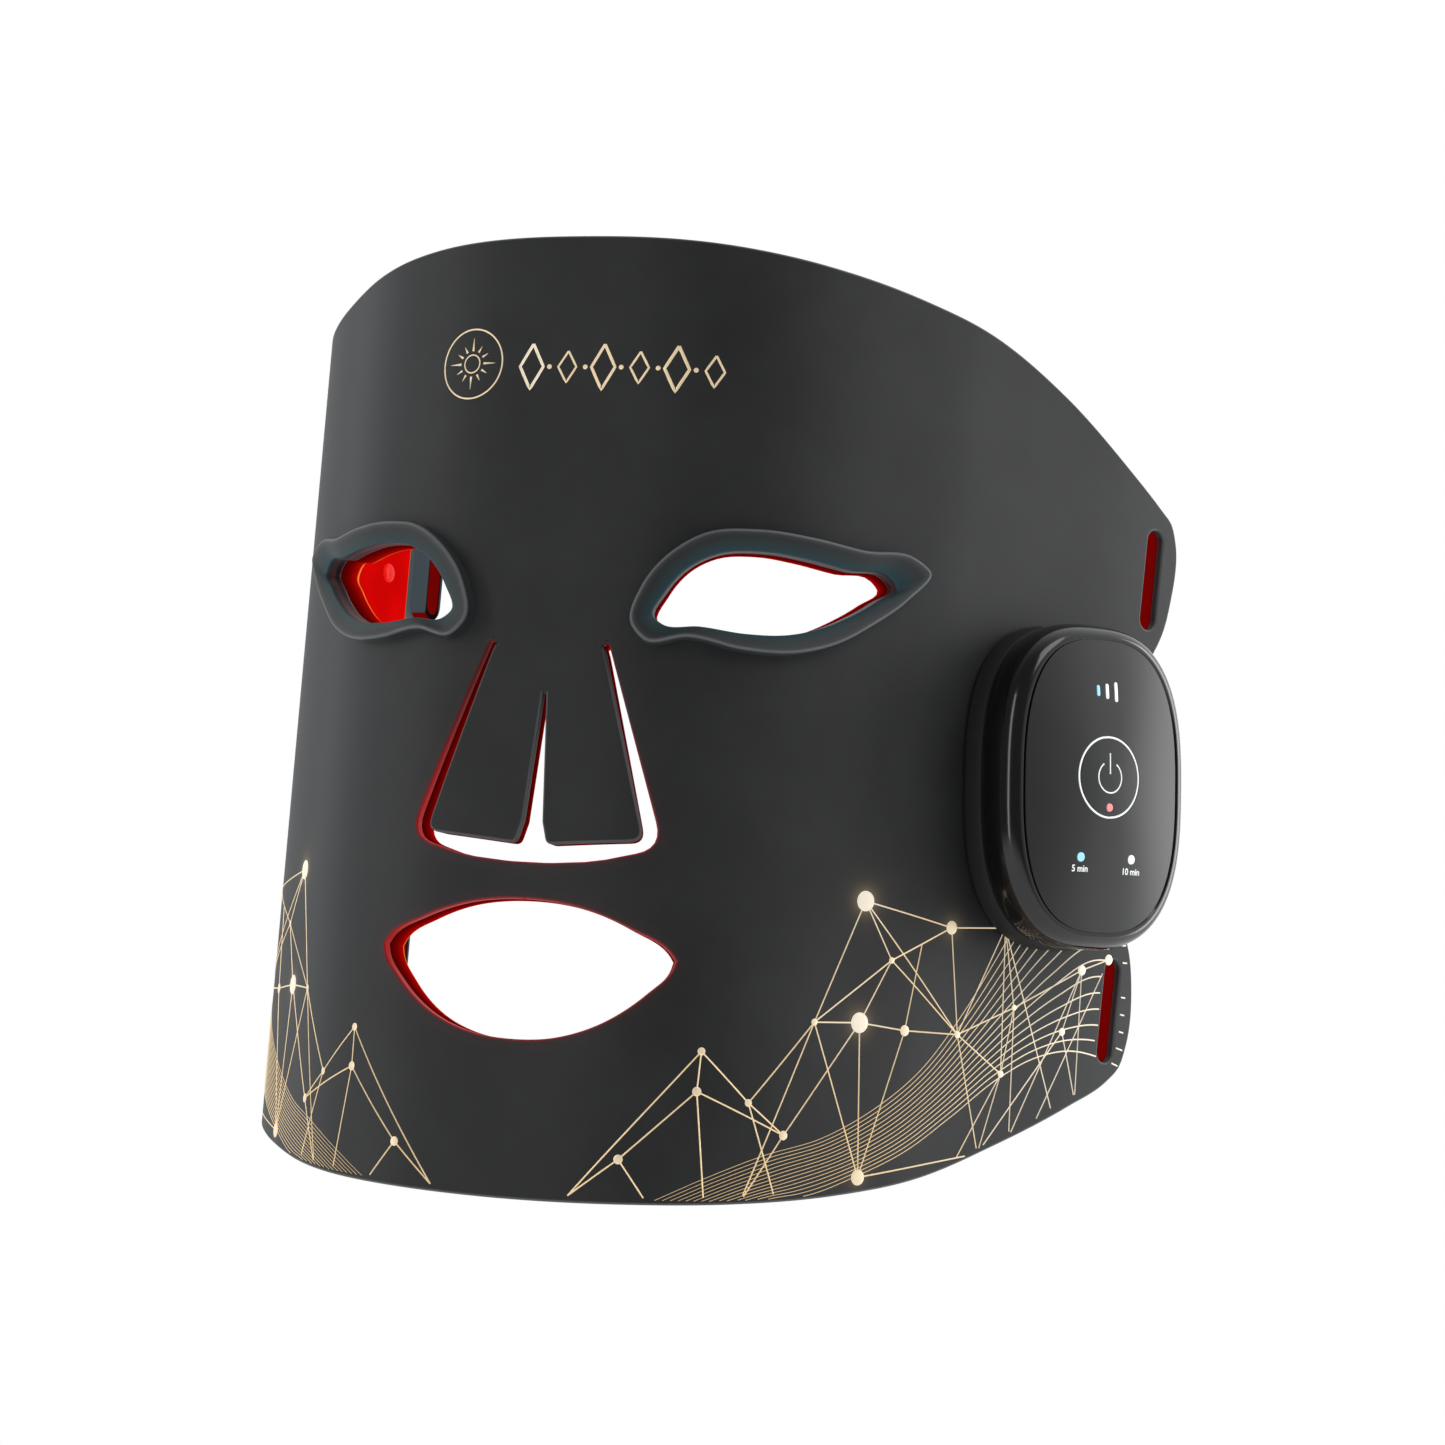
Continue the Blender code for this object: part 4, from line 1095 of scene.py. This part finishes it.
# Each fact below is the painted shine of that part of the ornament.
ornament.ribbon(ring * SUN_RING + SUN_AT, 0.5, 0.07, fact=0.35)
ornament.ribbon(ring[::3] * 1.9 + SUN_AT, 0.42, 0.07, fact=0.35)
for ray in range(12):
    angle = ray * math.pi / 6
    way = np.array([math.cos(angle), math.sin(angle)])
    reach = 5.6 if ray % 3 == 0 else 4.3
    line = straight(way * 2.8, way * reach, 0.5)
    ornament.ribbon(line + SUN_AT, np.linspace(0.75, 0.12, len(line)), 0.07, fact=0.3)
for number, s in enumerate(LOZENGES):
    half_s, half_z = (2.6, 4.9) if number % 2 == 0 else (2.0, 3.4)
    corners = [(0, half_z), (half_s, 0), (0, -half_z), (-half_s, 0)]
    # Painted shine: the first lozenge is brighter than the rest.
    shine = 0.75 if number == 0 else 0.3
    closed = dense(np.array(corners, float), 0.8)
    line = np.vstack([closed, closed[:1]]) + (s, 174.3)
    ornament.ribbon(line, 0.95 if number % 2 == 0 else 0.7, 0.08, fact=shine)
    if number < len(LOZENGES) - 1:
        ornament.button((s + 3.95, 174.3), [(0.55, -0.05), (0.5, 0.06), (0.25, 0.1)], 0.3, 16)
ornament_piece = ornament.piece("forehead_ornament", gold_finish)
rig.slot(ornament_piece, "front_skin")
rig.ride(ornament_piece, "mask")

# %% [markdown]
# ## Pod finishes
# The pod mixes blacks: a matt tray, a piano-black shell whose lacquer shows every
# softbox, and a satin cover. They differ mostly in roughness, so each gets its own
# grain: clouds in its colour and a fine noise in its roughness and relief.

# %% Black plastics and light guides
def plastic(name, dark, light, rough, spread, scale, depth, **fixed):
    """A moulded plastic with clouds in its colour and a fine texture."""
    finish = Finish(name, **fixed)
    place = finish.place()
    clouds = finish.grain(place, 45.0, 4.0, 0.6)
    texture = finish.grain(place, scale, 3.0, 0.6)
    finish.feed("Base Color", finish.mix(clouds, dark, light))
    finish.feed("Roughness", rough + clouds * spread * 0.6 + texture * spread * 0.4)
    finish.bump(texture, 0.2, depth)
    return finish


tray_finish = plastic("spark-textured tray", (0.015, 0.015, 0.0155), (0.023, 0.023, 0.024),
                      0.52, 0.15, 3800.0, 0.00006, Specular_IOR_Level=0.45)
shell_finish = plastic("piano-black shell", (0.0035, 0.0035, 0.0037), (0.006, 0.006, 0.0064),
                       0.14, 0.06, 2600.0, 0.000004, Coat_Weight=0.6, Coat_Roughness=0.06)
cover_finish = plastic("satin cover", (0.011, 0.0112, 0.0116), (0.016, 0.0163, 0.0168),
                       0.3, 0.09, 5200.0, 0.00002, Specular_IOR_Level=0.55)
gasket_finish = plastic("pod gasket rubber", (0.008, 0.008, 0.008), (0.016, 0.016, 0.016),
                        0.7, 0.15, 3000.0, 0.00005)


def light_guide(name, colour, strength):
    """A translucent lens lit from behind, brighter in its middle than at its rim."""
    finish = Finish(name, Emission_Strength=strength,
                    Base_Color=(*[0.4 + 0.5 * part for part in colour], 1.0))
    cloud = finish.grain(finish.place(), 1500.0, 2.0)
    pale = tuple(0.75 * part + 0.25 for part in colour)
    shade = finish.mix(cloud * 0.5, colour, pale)
    finish.feed("Emission Color", finish.mix(finish.fact("edge") * 0.45, shade, (0.05, 0.05, 0.05)))
    finish.feed("Roughness", 0.25 + cloud * 0.15)
    finish.bump(cloud, 0.08, 0.00002)
    return finish


white_guide = light_guide("white light guide", (0.85, 0.86, 0.88), 0.75)
cyan_guide = light_guide("cyan light guide", (0.1, 0.5, 0.8), 0.85)
red_guide = light_guide("red light guide", (0.95, 0.03, 0.04), 0.75)

# %% [markdown]
# ## Pod tray and shell
# Both are lofts of softly squared ovals. The profile is a short list of insets and
# heights; a smooth curve through it gives the shoulders their roundness. The charging
# port is cut through the shell's lower wall with a Boolean, which is then applied.

# %% Pod lofts
POD_HALF = (26.3, 35.3)
POD_POWER = 2.7
RING_POINTS = 144


def oval(half_u, half_v):
    """A softly squared oval."""
    angles = (np.arange(RING_POINTS) + 0.5) * 2 * math.pi / RING_POINTS
    c, s = np.cos(angles), np.sin(angles)
    return np.column_stack([half_u * np.abs(c) ** (2 / POD_POWER) * np.sign(c),
                            half_v * np.abs(s) ** (2 / POD_POWER) * np.sign(s)])


def pod_loft(name, profile, finish, closed=False):
    """A loft whose rings are the pod's outline moved in by an inset, at a height."""
    rings = []
    for inset, height in profile:
        ring = oval(POD_HALF[0] - inset, POD_HALF[1] - inset)
        rings.append(on_pod(ring[:, 0], ring[:, 1], height))
    return loft(name, rings, finish, closed=closed)


POSTS = [(-13.5, -23.0), (13.5, -23.0), (13.5, 23.0), (-13.5, 23.0)]
tray_profile = [(0.9, 0.3), (0.25, 0.38), (0.0, 0.75), (-0.02, 1.4), (0.12, 3.2), (0.3, 4.9),
                (0.5, 5.35), (0.9, 5.5), (3.0, 5.5), (3.25, 5.2), (3.6, 1.8)]
tray = pod_loft("pod_tray_piece", tray_profile, tray_finish)
for number, centre in enumerate(POSTS, 1):
    rings = []
    for radius, height in ((2.5, 1.7), (2.3, 2.4), (2.2, 10.3), (2.0, 10.55), (1.0, 10.55), (0.95, 4.5)):
        ring = circle(centre, radius, 32)
        rings.append(on_pod(ring[:, 0], ring[:, 1], height))
    post = loft(f"pod_post_{number}", rings, tray_finish)
    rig.slot(post, "pod_tray")
    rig.ride(post, "left_wing")
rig.replaces(tray, "pod_tray")

outer_profile = soft([(0.8, 6.55), (0.45, 6.75), (0.12, 7.6), (0.0, 9.2), (0.12, 11.3), (0.85, 13.5),
                      (1.95, 14.85), (3.0, 15.42), (3.6, 15.45), (3.88, 15.2)], 0.45, closed=False)
inner_profile = [(3.9, 13.95), (6.1, 13.9), (6.1, 12.8), (3.1, 12.75), (2.5, 6.6)]
shell = pod_loft("pod_shell_piece", [*outer_profile.tolist(), *inner_profile], shell_finish, closed=True)
angles = np.arange(40) * math.pi / 20
port_u = 4.9 * np.abs(np.cos(angles)) ** 0.4 * np.sign(np.cos(angles))
port_n = 8.85 + 1.75 * np.abs(np.sin(angles)) ** 0.6 * np.sign(np.sin(angles))
port_rings = [on_pod(port_u, v, port_n) for v in (-37.5, -29.5)]
port = loft("port_cutter", port_rings, shell_finish)
cut = shell.modifiers.new("port", "BOOLEAN")
cut.object = port
cut.solver = "EXACT"
cut_mesh = bpy.data.meshes.new_from_object(shell.evaluated_get(bpy.context.evaluated_depsgraph_get()))
shell.modifiers.clear()
shell.data = cut_mesh
shell.data.shade_smooth()
shell.data.set_sharp_from_angle(angle=math.radians(38))
bpy.data.objects.remove(port, do_unlink=True)
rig.replaces(shell, "pod_shell")
for piece, slot_name in ((tray, "pod_tray"), (shell, "pod_shell")):
    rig.slot(piece, slot_name)
    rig.ride(piece, "left_wing")

# %% [markdown]
# ## Domed cover, button and light guides
# The cover is a sheet bent over a shallow dome, with holes for everything that shines
# through. The button, its ring and the small lenses are sheets on the same dome, so
# they all sit flush. The button and its red lens belong to a body of their own.

# %% Cover and what sits in it
COVER_HALF = (22.0, 31.6)
COVER_EDGE, COVER_RISE = 15.4, 2.2
BUTTON_AT, BUTTON_RADIUS = (0.4, 1.8), 8.4
RING_RADII = (8.5, 8.84)
STATUS_AT = (0.4, -4.7)
BARS = [((-2.4, 20.4), 1.2), ((0.2, 20.4), 1.65), ((2.8, 20.4), 2.15)]
BAR_HALF_WIDTH = 0.42
TIMERS = [(-7.2, -15.6), (7.6, -15.6)]


def on_dome(u, v, depth):
    """Points on the cover's dome, raised by a depth."""
    u, v = np.asarray(u, float), np.asarray(v, float)
    spread = (np.abs(u / COVER_HALF[0]) ** POD_POWER + np.abs(v / COVER_HALF[1]) ** POD_POWER)
    return on_pod(u, v, COVER_EDGE + COVER_RISE * (1 - spread ** (2 / POD_POWER)) + depth)


bar_curves = [racetrack(at, BAR_HALF_WIDTH, half, 8) for at, half in BARS]
bar_holes = [racetrack(at, BAR_HALF_WIDTH + 0.06, half + 0.06, 8) for at, half in BARS]
timer_holes = [circle(at, 1.08, 28) for at in TIMERS]
cover = sheet("pod_cover_piece", [oval(*COVER_HALF), circle(BUTTON_AT, 8.92, 72), *bar_holes,
                                  *timer_holes], on_dome, 0.0, -1.25, 0.1, 1.5, cover_finish, rows=3)
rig.replaces(cover, "pod_cover")
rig.slot(cover, "pod_cover")
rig.ride(cover, "left_wing")

button = sheet("power_button_piece", [circle(BUTTON_AT, BUTTON_RADIUS, 72), circle(STATUS_AT, 0.95, 28)],
               on_dome, 0.06, -2.3, 0.1, 1.2, cover_finish, rows=3)
guides = [("ring_light", [circle(BUTTON_AT, RING_RADII[1], 72), circle(BUTTON_AT, RING_RADII[0], 72)],
           0.02, white_guide, "left_wing"),
          ("status_lens", [circle(STATUS_AT, 0.88, 28)], 0.1, red_guide, "button"),
          ("timer_lens_1", [circle(TIMERS[0], 1.0, 28)], 0.05, cyan_guide, "left_wing"),
          ("timer_lens_2", [circle(TIMERS[1], 1.0, 28)], 0.05, white_guide, "left_wing")]
for number, curve in enumerate(bar_curves, 1):
    guides.append((f"level_bar_{number}", [curve], 0.05, cyan_guide if number == 1 else white_guide,
                   "left_wing"))
for name, curves, top, finish, body in guides:
    guide = sheet(name + "_piece", curves, on_dome, top, -1.9, 0.08, 0.5, finish, rows=3)
    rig.replaces(guide, name)
    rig.slot(guide, name)
    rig.ride(guide, body)
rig.replaces(button, "power_button")
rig.slot(button, "power_button")
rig.ride(button, "button")

# %% [markdown]
# ## Printed symbol and labels
# The power symbol is a broken ring with a stroke. Under the timer lenses are the run
# times in minutes. The symbol is made of ribbons and rides on the button; the labels
# start as text, which is turned into a mesh and laid on the dome.

# %% White print on the pod
# The print also glows with its own colour: painted light.
ink_finish = Finish("white pad print", Emission_Strength=0.55, Specular_IOR_Level=0.4)
flake = ink_finish.grain(ink_finish.place(), 2200.0, 3.0)
ink_and_painted_glow = ink_finish.mix(flake, (0.74, 0.75, 0.76), (0.88, 0.89, 0.9))
ink_finish.feed("Base Color", ink_and_painted_glow)
ink_finish.feed("Emission Color", ink_and_painted_glow)
ink_finish.feed("Roughness", 0.4 + flake * 0.2)
ink_finish.bump(flake, 0.1, 0.00001)

SYMBOL_RADIUS, SYMBOL_GAP = 3.35, math.radians(36)
sweep = np.linspace(math.pi / 2 + SYMBOL_GAP, 2.5 * math.pi - SYMBOL_GAP, 60)
arc = np.column_stack([np.cos(sweep), np.sin(sweep)]) * SYMBOL_RADIUS + BUTTON_AT
symbol = Batch(on_dome)
symbol.ribbon(arc, 0.5, 0.11, root=0.03)
symbol.ribbon(straight((BUTTON_AT[0], BUTTON_AT[1] + 0.9), (BUTTON_AT[0], BUTTON_AT[1] + 5.0), 0.3),
              0.5, 0.11, root=0.03)
for end in (arc[0], arc[-1], (BUTTON_AT[0], BUTTON_AT[1] + 0.9), (BUTTON_AT[0], BUTTON_AT[1] + 5.0)):
    symbol.button(end, [(0.25, 0.03), (0.2, 0.08), (0.08, 0.11)], count=14)
symbol_piece = symbol.piece("power_symbol", ink_finish)
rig.slot(symbol_piece, "power_button")
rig.ride(symbol_piece, "button")

LABELS = (("5 min", (-7.4, -18.1)), ("10 min", (7.5, -18.3)))
LABEL_HEIGHT = 2.0
for number, (words, (u, v)) in enumerate(LABELS, 1):
    text = bpy.data.curves.new(f"label_{number}", "FONT")
    text.body = words
    text.size = LABEL_HEIGHT
    text.align_x = "CENTER"
    text.align_y = "CENTER"
    text.extrude = 0.02
    text.offset = 0.035
    holder = bpy.data.objects.new("label_holder", text)
    bpy.context.scene.collection.objects.link(holder)
    drawn = holder.evaluated_get(bpy.context.evaluated_depsgraph_get()).to_mesh()
    spots = np.array([tuple(point.co) for point in drawn.vertices])
    faces = [list(face.vertices) for face in drawn.polygons]
    bpy.data.objects.remove(holder, do_unlink=True)
    label = new_piece(f"timer_label_{number}", on_dome(spots[:, 0] + u, spots[:, 1] + v, spots[:, 2] + 0.03),
                      faces, ink_finish)
    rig.slot(label, "pod_cover")
    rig.ride(label, "left_wing")

# %% [markdown]
# ## Parts inside the pod
# These CAD nodes keep their shape and only get a finish: a circuit board with copper
# tracks under green lacquer, a battery in crinkled foil, plated steel, amber film.

# %% Finishes for the inner parts
board_finish = Finish("green circuit board", Coat_Weight=0.4, Coat_Roughness=0.15)
place = board_finish.place()
tracks = board_finish.node("TexVoronoi", {"feature": "DISTANCE_TO_EDGE"},
                           {"Vector": place, "Scale": 420.0}, output="Distance")
tracks = board_finish.ease(tracks, 0.04, 0.09, 1.0, 0.0)
weave = board_finish.grain(place, 1800.0, 2.0)
lacquer = board_finish.mix(weave, (0.006, 0.07, 0.03), (0.01, 0.11, 0.045))
board_finish.feed("Base Color", board_finish.mix(tracks, lacquer, (0.03, 0.22, 0.08)))
board_finish.feed("Roughness", 0.35 + weave * 0.12 - tracks * 0.08)
board_finish.bump(tracks + weave * 0.2, 0.3, 0.00004)

foil_finish = Finish("battery foil", Metallic=1.0)
place = foil_finish.place()
crinkle = foil_finish.grain(place, 160.0, 5.0, 0.6)
foil_finish.feed("Base Color", foil_finish.mix(crinkle, (0.42, 0.42, 0.43), (0.66, 0.66, 0.67)))
foil_finish.feed("Roughness", 0.25 + crinkle * 0.2)
foil_finish.bump(crinkle, 0.5, 0.0002)

steel_finish = Finish("plated steel", Metallic=1.0)
place = steel_finish.place()
brushed = steel_finish.grain(place, 1400.0, 4.0, 0.7)
steel_finish.feed("Base Color", steel_finish.mix(brushed, (0.48, 0.48, 0.5), (0.66, 0.66, 0.68)))
steel_finish.feed("Roughness", 0.2 + brushed * 0.18)
steel_finish.bump(brushed, 0.2, 0.00002)

film_finish = Finish("amber film", Coat_Weight=0.3, Coat_Roughness=0.2)
place = film_finish.place()
lines = film_finish.node("TexWave", {"wave_type": "BANDS", "bands_direction": "Z"},
                         {"Vector": place, "Scale": 260.0, "Distortion": 0.6})
dot_glow_and_film_haze = film_finish.grain(place, 500.0, 3.0)
film_finish.feed("Base Color", film_finish.mix(lines, (0.36, 0.15, 0.03), (0.5, 0.26, 0.08)))
film_finish.feed("Roughness", 0.3 + dot_glow_and_film_haze * 0.15)
film_finish.bump(lines, 0.2, 0.00003)

resin_finish = plastic("clear resin", (0.62, 0.58, 0.38), (0.8, 0.76, 0.55), 0.2, 0.1, 2000.0, 0.00001)
switch_finish = plastic("switch plastic", (0.02, 0.02, 0.02), (0.04, 0.04, 0.04), 0.4, 0.15, 3000.0,
                        0.00003)
INNER = [("main_board", board_finish), ("battery_cell", foil_finish), ("board_screw", steel_finish),
         ("usb_c_socket", steel_finish), ("ribbon_cable", film_finish), ("flex_", film_finish),
         ("timer_led", resin_finish), ("level_led", resin_finish), ("tact_switch", switch_finish),
         ("pod_gasket", gasket_finish)]
dressed = 0
for name, node in frame["nodes"].items():
    for start, finish in INNER:
        if name.startswith(start):
            for material_slot in node.material_slots:
                material_slot.material = finish.material
            dressed += 1
print(dressed, "inner nodes dressed")

# %% [markdown]
# ## Studio
# The background is plain white to the camera. What the mask reflects is another
# matter: a dark charcoal object needs dim light from the front and bright light from
# the sides and back, or its shape would wash out. The world holds that soft light, and
# four soft boxes draw the long highlights on the pod. The floor lies well below, and
# fades out at its rim, so it has no visible edge.

# %% World, lamps and floor
bpy.context.scene.view_settings.view_transform = "Standard"
world = bpy.data.worlds.new("studio")
world.use_nodes = True
bpy.context.scene.world = world
tree = world.node_tree
tree.nodes.clear()


def world_node(kind, settings=None, sockets=None):
    """Add a node to the world and fill its sockets with values or other sockets."""
    made = tree.nodes.new("ShaderNode" + kind)
    for key, value in (settings or {}).items():
        setattr(made, key, value)
    for key, value in (sockets or {}).items():
        if isinstance(value, bpy.types.NodeSocket):
            tree.links.new(value, made.inputs[key])
        else:
            made.inputs[key].default_value = value
    return made.outputs


facing_way = world_node("SeparateXYZ", sockets={0: world_node("TexCoord")["Generated"]})
from_back = world_node("MapRange", {"interpolation_type": "SMOOTHSTEP"},
                       {0: facing_way["Y"], 1: -0.7, 2: 0.5, 3: 0.13, 4: 0.95})["Result"]
from_below = world_node("MapRange", {"interpolation_type": "SMOOTHSTEP"},
                        {0: facing_way["Z"], 1: -0.9, 2: 0.2, 3: 0.55, 4: 1.0})["Result"]
level = world_node("Math", {"operation": "MULTIPLY"}, {0: from_back, 1: from_below})[0]
room = world_node("Background", sockets={"Strength": level, "Color": (0.97, 0.985, 1.0, 1.0)})[0]
plain = world_node("Background", sockets={"Color": (1.0, 1.0, 1.0, 1.0)})[0]
seen = world_node("LightPath")["Is Camera Ray"]
both = world_node("MixShader", sockets={0: seen, 1: room, 2: plain})[0]
world_node("OutputWorld", sockets={"Surface": both})

LAMPS = [("left_softbox", (-0.75, -0.35, 0.25), (0.12, 1.0), 1.5),
         ("front_strip", (-0.25, -0.9, 0.2), (0.13, 0.8), 0.9),
         ("top_softbox", (0.8, -0.3, 0.85), (0.6, 0.5), 2.0),
         ("rear_softbox", (0.85, 0.52, 0.2), (0.35, 1.0), 3.8)]
for name, spot, size, power in LAMPS:
    lamp_data = bpy.data.lights.new(name, "AREA")
    lamp_data.shape = "RECTANGLE"
    lamp_data.size, lamp_data.size_y = size
    lamp_data.energy = power
    lamp = bpy.data.objects.new(name, lamp_data)
    lamp.location = spot
    lamp.rotation_euler = (Vector((0, 0.03, 0.1)) - Vector(spot)).to_track_quat("-Z", "Y").to_euler()
    bpy.context.scene.collection.objects.link(lamp)

floor_finish = Finish("pale floor", Roughness=0.7)
spot_x, spot_y, _ = floor_finish.parts(floor_finish.place())
away = (spot_x ** 2.0 + spot_y ** 2.0) ** 0.5
floor_finish.feed("Alpha", floor_finish.ease(away, 0.5, 1.4, 1.0, 0.0))
speckle = floor_finish.grain(floor_finish.place(), 90.0, 3.0)
floor_finish.feed("Base Color", floor_finish.mix(speckle, (0.84, 0.84, 0.84), (0.9, 0.9, 0.9)))
FLOOR_HEIGHT = -0.18
ring = circle((0, 0), 1.5, 96)
floor_mesh = bpy.data.meshes.new("floor")
floor_mesh.from_pydata([(x, y, FLOOR_HEIGHT) for x, y in ring], [], [list(range(96))])
floor_mesh.materials.append(floor_finish.material)
floor = bpy.data.objects.new("floor", floor_mesh)
bpy.context.scene.collection.objects.link(floor)
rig.stage(floor)

# %% Finish
low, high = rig.bounds()
with open("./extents.json", "w") as size_file:
    json.dump({"cad": [list(cad_low), list(cad_high)], "visual": [list(low), list(high)]}, size_file)
